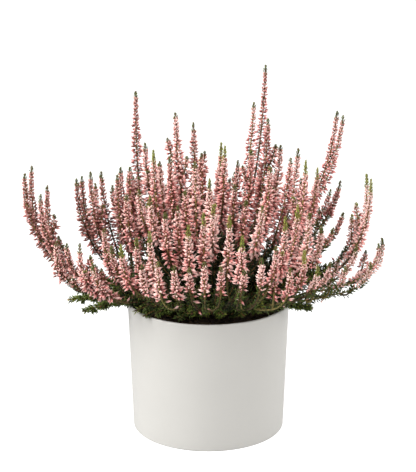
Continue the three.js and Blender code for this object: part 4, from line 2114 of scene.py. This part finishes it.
@dataclass
class Soil:
    """The soil's crumbly surface and the body of it below.

    Attributes:
        radius: its radius.
        edge: the height of its surface at its edge.
        bottom: the height of its underside.
        narrower: how much less its radius is at the bottom.
        dish: how far its surface sinks in the middle.
        lumps: how high its lumps stand.
        fineness: how fine they are.
        rings: how many rings its surface has.
        turns: how many sides it has.
        crumbs: how many loose crumbs lie on it.
        crumb_size: the least and greatest radius of a crumb.
        clear_of_edge: how far the crumbs keep from the edge.
    """

    radius: float
    edge: float
    bottom: float
    narrower: float = 4 * MM
    dish: float = 2 * MM
    lumps: float = 1.3 * MM
    fineness: float = 90.0
    rings: int = 30
    turns: int = 96
    crumbs: int = 520
    crumb_size: tuple[float, float] = (0.5 * MM, 1.7 * MM)
    clear_of_edge: float = 1.5 * MM

    def height_at(self, x: float, y: float) -> float:
        """The height of the surface at a place.

        Args:
            x: how far to the right the place lies.
            y: how far back it lies.

        Returns:
            The height.
        """
        out = math.hypot(x, y) / self.radius
        # Four layers of lumps, each about half as wide as the one before.
        rough = noise.fractal(Vector((x, y, 0.3)) * self.fineness, 0.8, 2.1, 4)
        return self.edge - self.dish * (1 - out * out) + self.lumps * rough

    def build(self, material: bpy.types.Material) -> None:
        """Make the plug of soil and the crumbs on it.

        Args:
            material: the soil's material.
        """
        profile = [UP * self.bottom, Vector((self.radius - self.narrower, 0.0, self.bottom))]
        for ring in range(self.rings + 1):
            profile.append(Vector((self.radius * (1 - ring / self.rings), 0.0, self.edge)))
        form = turned(profile, self.turns)
        for corner in form.verts:
            if corner.co.z > self.edge - 1e-6:
                corner.co.z = self.height_at(corner.co.x, corner.co.y)
        bmesh.ops.recalc_face_normals(form, faces=form.faces)
        hand_over(from_form("potting_soil", form, material), Slot.SOIL, "soil")
        self._crumbs(material)

    def _crumbs(self, material: bpy.types.Material) -> None:
        """Scatter crumbs over the surface.

        Args:
            material: the soil's material.
        """
        rng = random.Random(11)
        crumb = bmesh.new()
        bmesh.ops.create_icosphere(crumb, subdivisions=1, radius=1.0)
        for corner in crumb.verts:
            corner.co *= rng.uniform(0.75, 1.15)
        places = []
        for _ in range(self.crumbs):
            out = (self.radius - self.clear_of_edge) * math.sqrt(rng.random())
            angle = rng.uniform(0, math.tau)
            x, y = out * math.cos(angle), out * math.sin(angle)
            size = rng.uniform(*self.crumb_size)
            turn, axis = rng.uniform(0, math.tau), (rng.random(), rng.random(), 1.0)
            deep, high = size * rng.uniform(0.6, 1), size * rng.uniform(0.5, 0.9)
            places.append(
                Matrix.Translation((x, y, self.height_at(x, y) + 0.3 * size))
                @ Matrix.Rotation(turn, 4, axis)
                @ Matrix.Diagonal((size, deep, high, 1))
            )
        growth = Growth()
        growth.press(Stamp(crumb), places, [0.5] * len(places), 0)
        hand_over(growth.piece("soil_crumbs", [material]), Slot.SOIL, "soil")


# ------------------------------------------------------------------ the studio


@dataclass
class Studio:
    """A pale floor, soft light from all round and a camera.

    Attributes:
        aim: the place that the camera and the key light face.
        distance: how far from it the camera stands.
        elevation: how far the camera looks down, in degrees.
        focal: its focal length in millimetres.
        sensor: the width of its sensor in millimetres.
        furthest_seen: how far it sees.
        floor_size: the floor's width.
        floor: the floor's colour.
        floor_glow: how strongly the floor glows for the other pieces and for the camera.
        backdrop: how bright the backdrop is to the camera.
        left: how bright the light from the left is.
        right: how bright the light from the right is.
        key_place: where the key light hangs.
        key_size: its width.
        key_power: its power in watts.
    """

    aim: Vector = field(default_factory=lambda: Vector((-0.3 * MM, 0.0, 170.6 * MM)))
    distance: float = 1.2
    elevation: float = 15.3
    focal: float = 106.9
    sensor: float = 36.0
    furthest_seen: float = 30.0
    floor_size: float = 16.0
    floor: Colour = shade(160, 160, 160)
    floor_glow: tuple[float, float] = (0.25, 0.9)
    backdrop: float = 1.05
    left: float = 0.67
    right: float = 3.15
    key_place: Vector = field(default_factory=lambda: Vector((-1.05, -0.5, 1.3)))
    key_size: float = 1.5
    key_power: float = 60.0

    def build(self) -> None:
        """Set up everything that isn't part of the object."""
        self._floor()
        self._sky()
        self._key_light()
        self._camera()
        bpy.context.scene.view_settings.view_transform = "Standard"

    def _floor(self) -> None:
        """Lay the floor."""
        form = bmesh.new()
        bmesh.ops.create_grid(form, x_segments=8, y_segments=8, size=self.floor_size / 2)
        coat = Coat("pale_floor")
        path = coat.add("ShaderNodeLightPath").outputs["Is Camera Ray"]
        low, high = self.floor_glow
        glow = coat.add("ShaderNodeMapRange", {"Value": path, "To Min": low, "To Max": high})
        coat.feed(coat.shader, {"Base Color": self.floor, "Roughness": 0.9})
        coat.feed(coat.shader, {"Specular IOR Level": 0.0, "Emission Color": WHITE})
        coat.feed(coat.shader, {"Emission Strength": glow.outputs["Result"]})
        from_form("floor", form, coat.material)

    def _sky(self) -> None:
        """A white backdrop, and light that comes from the left and, stronger, from the right."""
        world = bpy.data.worlds.new("studio")
        world.use_nodes = True
        bpy.context.scene.world = world
        bench = Bench(world.node_tree)
        around = bench.add("ShaderNodeTexCoord").outputs["Generated"]
        split = bench.add("ShaderNodeSeparateXYZ", {"Vector": around})
        sides = []
        for start, end, low, high in ((-1.0, 0.0, self.left, 0.0), (0.0, 1.0, 0.0, self.right)):
            values = {"Value": split.outputs["X"], "From Min": start, "From Max": end}
            values |= {"To Min": low, "To Max": high}
            sides.append(bench.add("ShaderNodeMapRange", values).outputs["Result"])
        level = bench.add("ShaderNodeMath", {"0": sides[0], "1": sides[1]}, operation="ADD")
        path = bench.add("ShaderNodeLightPath").outputs["Is Camera Ray"]
        levels = {"0": path, "2": level.outputs[0], "3": self.backdrop}
        seen = bench.add("ShaderNodeMix", levels, data_type="FLOAT")
        background = world.node_tree.nodes["Background"]
        bench.feed(background, {"Color": WHITE, "Strength": seen.outputs[0]})

    def _key_light(self) -> None:
        """Hang a square soft light that faces the plant."""
        light = bpy.data.lights.new("key_light", "AREA")
        light.size = self.key_size
        light.energy = self.key_power
        self._stand(light, self.key_place)

    def _camera(self) -> None:
        """Stand the camera in front, looking slightly down."""
        camera = bpy.data.cameras.new("camera")
        camera.lens = self.focal
        camera.sensor_width = self.sensor
        camera.clip_end = self.furthest_seen
        down = math.radians(self.elevation)
        offset = Vector((0.0, -math.cos(down), math.sin(down))) * self.distance
        bpy.context.scene.camera = self._stand(camera, self.aim + offset)

    def _stand(self, kind: bpy.types.ID, place: Vector) -> bpy.types.Object:
        """Put a light or a camera in the scene, facing the aim.

        Args:
            kind: the light or camera.
            place: where it stands.

        Returns:
            Its object.
        """
        thing = bpy.data.objects.new(kind.name, kind)
        thing.location = place
        thing.rotation_euler = (self.aim - place).to_track_quat("-Z", "Y").to_euler()
        bpy.context.scene.collection.objects.link(thing)
        return thing


# ------------------------------------------------------------------ the whole


def main() -> None:
    """Build the pot, the soil, the shrub and its flowers, and the studio."""
    logging.basicConfig(level=logging.INFO, format="%(name)s: %(message)s")
    effects = Effects()
    pot = Pot(*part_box("pot"))
    pot.build(Glaze().material(effects))
    soil_low, soil_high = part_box("soil")
    soil = Soil(radius=soil_high.x, edge=pot.height - SOIL_BELOW_LIP, bottom=soil_low.z)
    soil.build(Earth().material(effects))
    habit = Habit()
    shapes = Shapes()
    materials = [finish.material(effects) for finish in (BARK, LEAF, FLORET, BRACT, BUD)]
    Shrub(habit, shapes.needle, pot.rim_radius, pot.height, soil.edge).build(materials)
    FlowerSprays(habit, Spike(shapes)).build(materials)
    Studio().build()


if __name__ == "__main__":
    main()
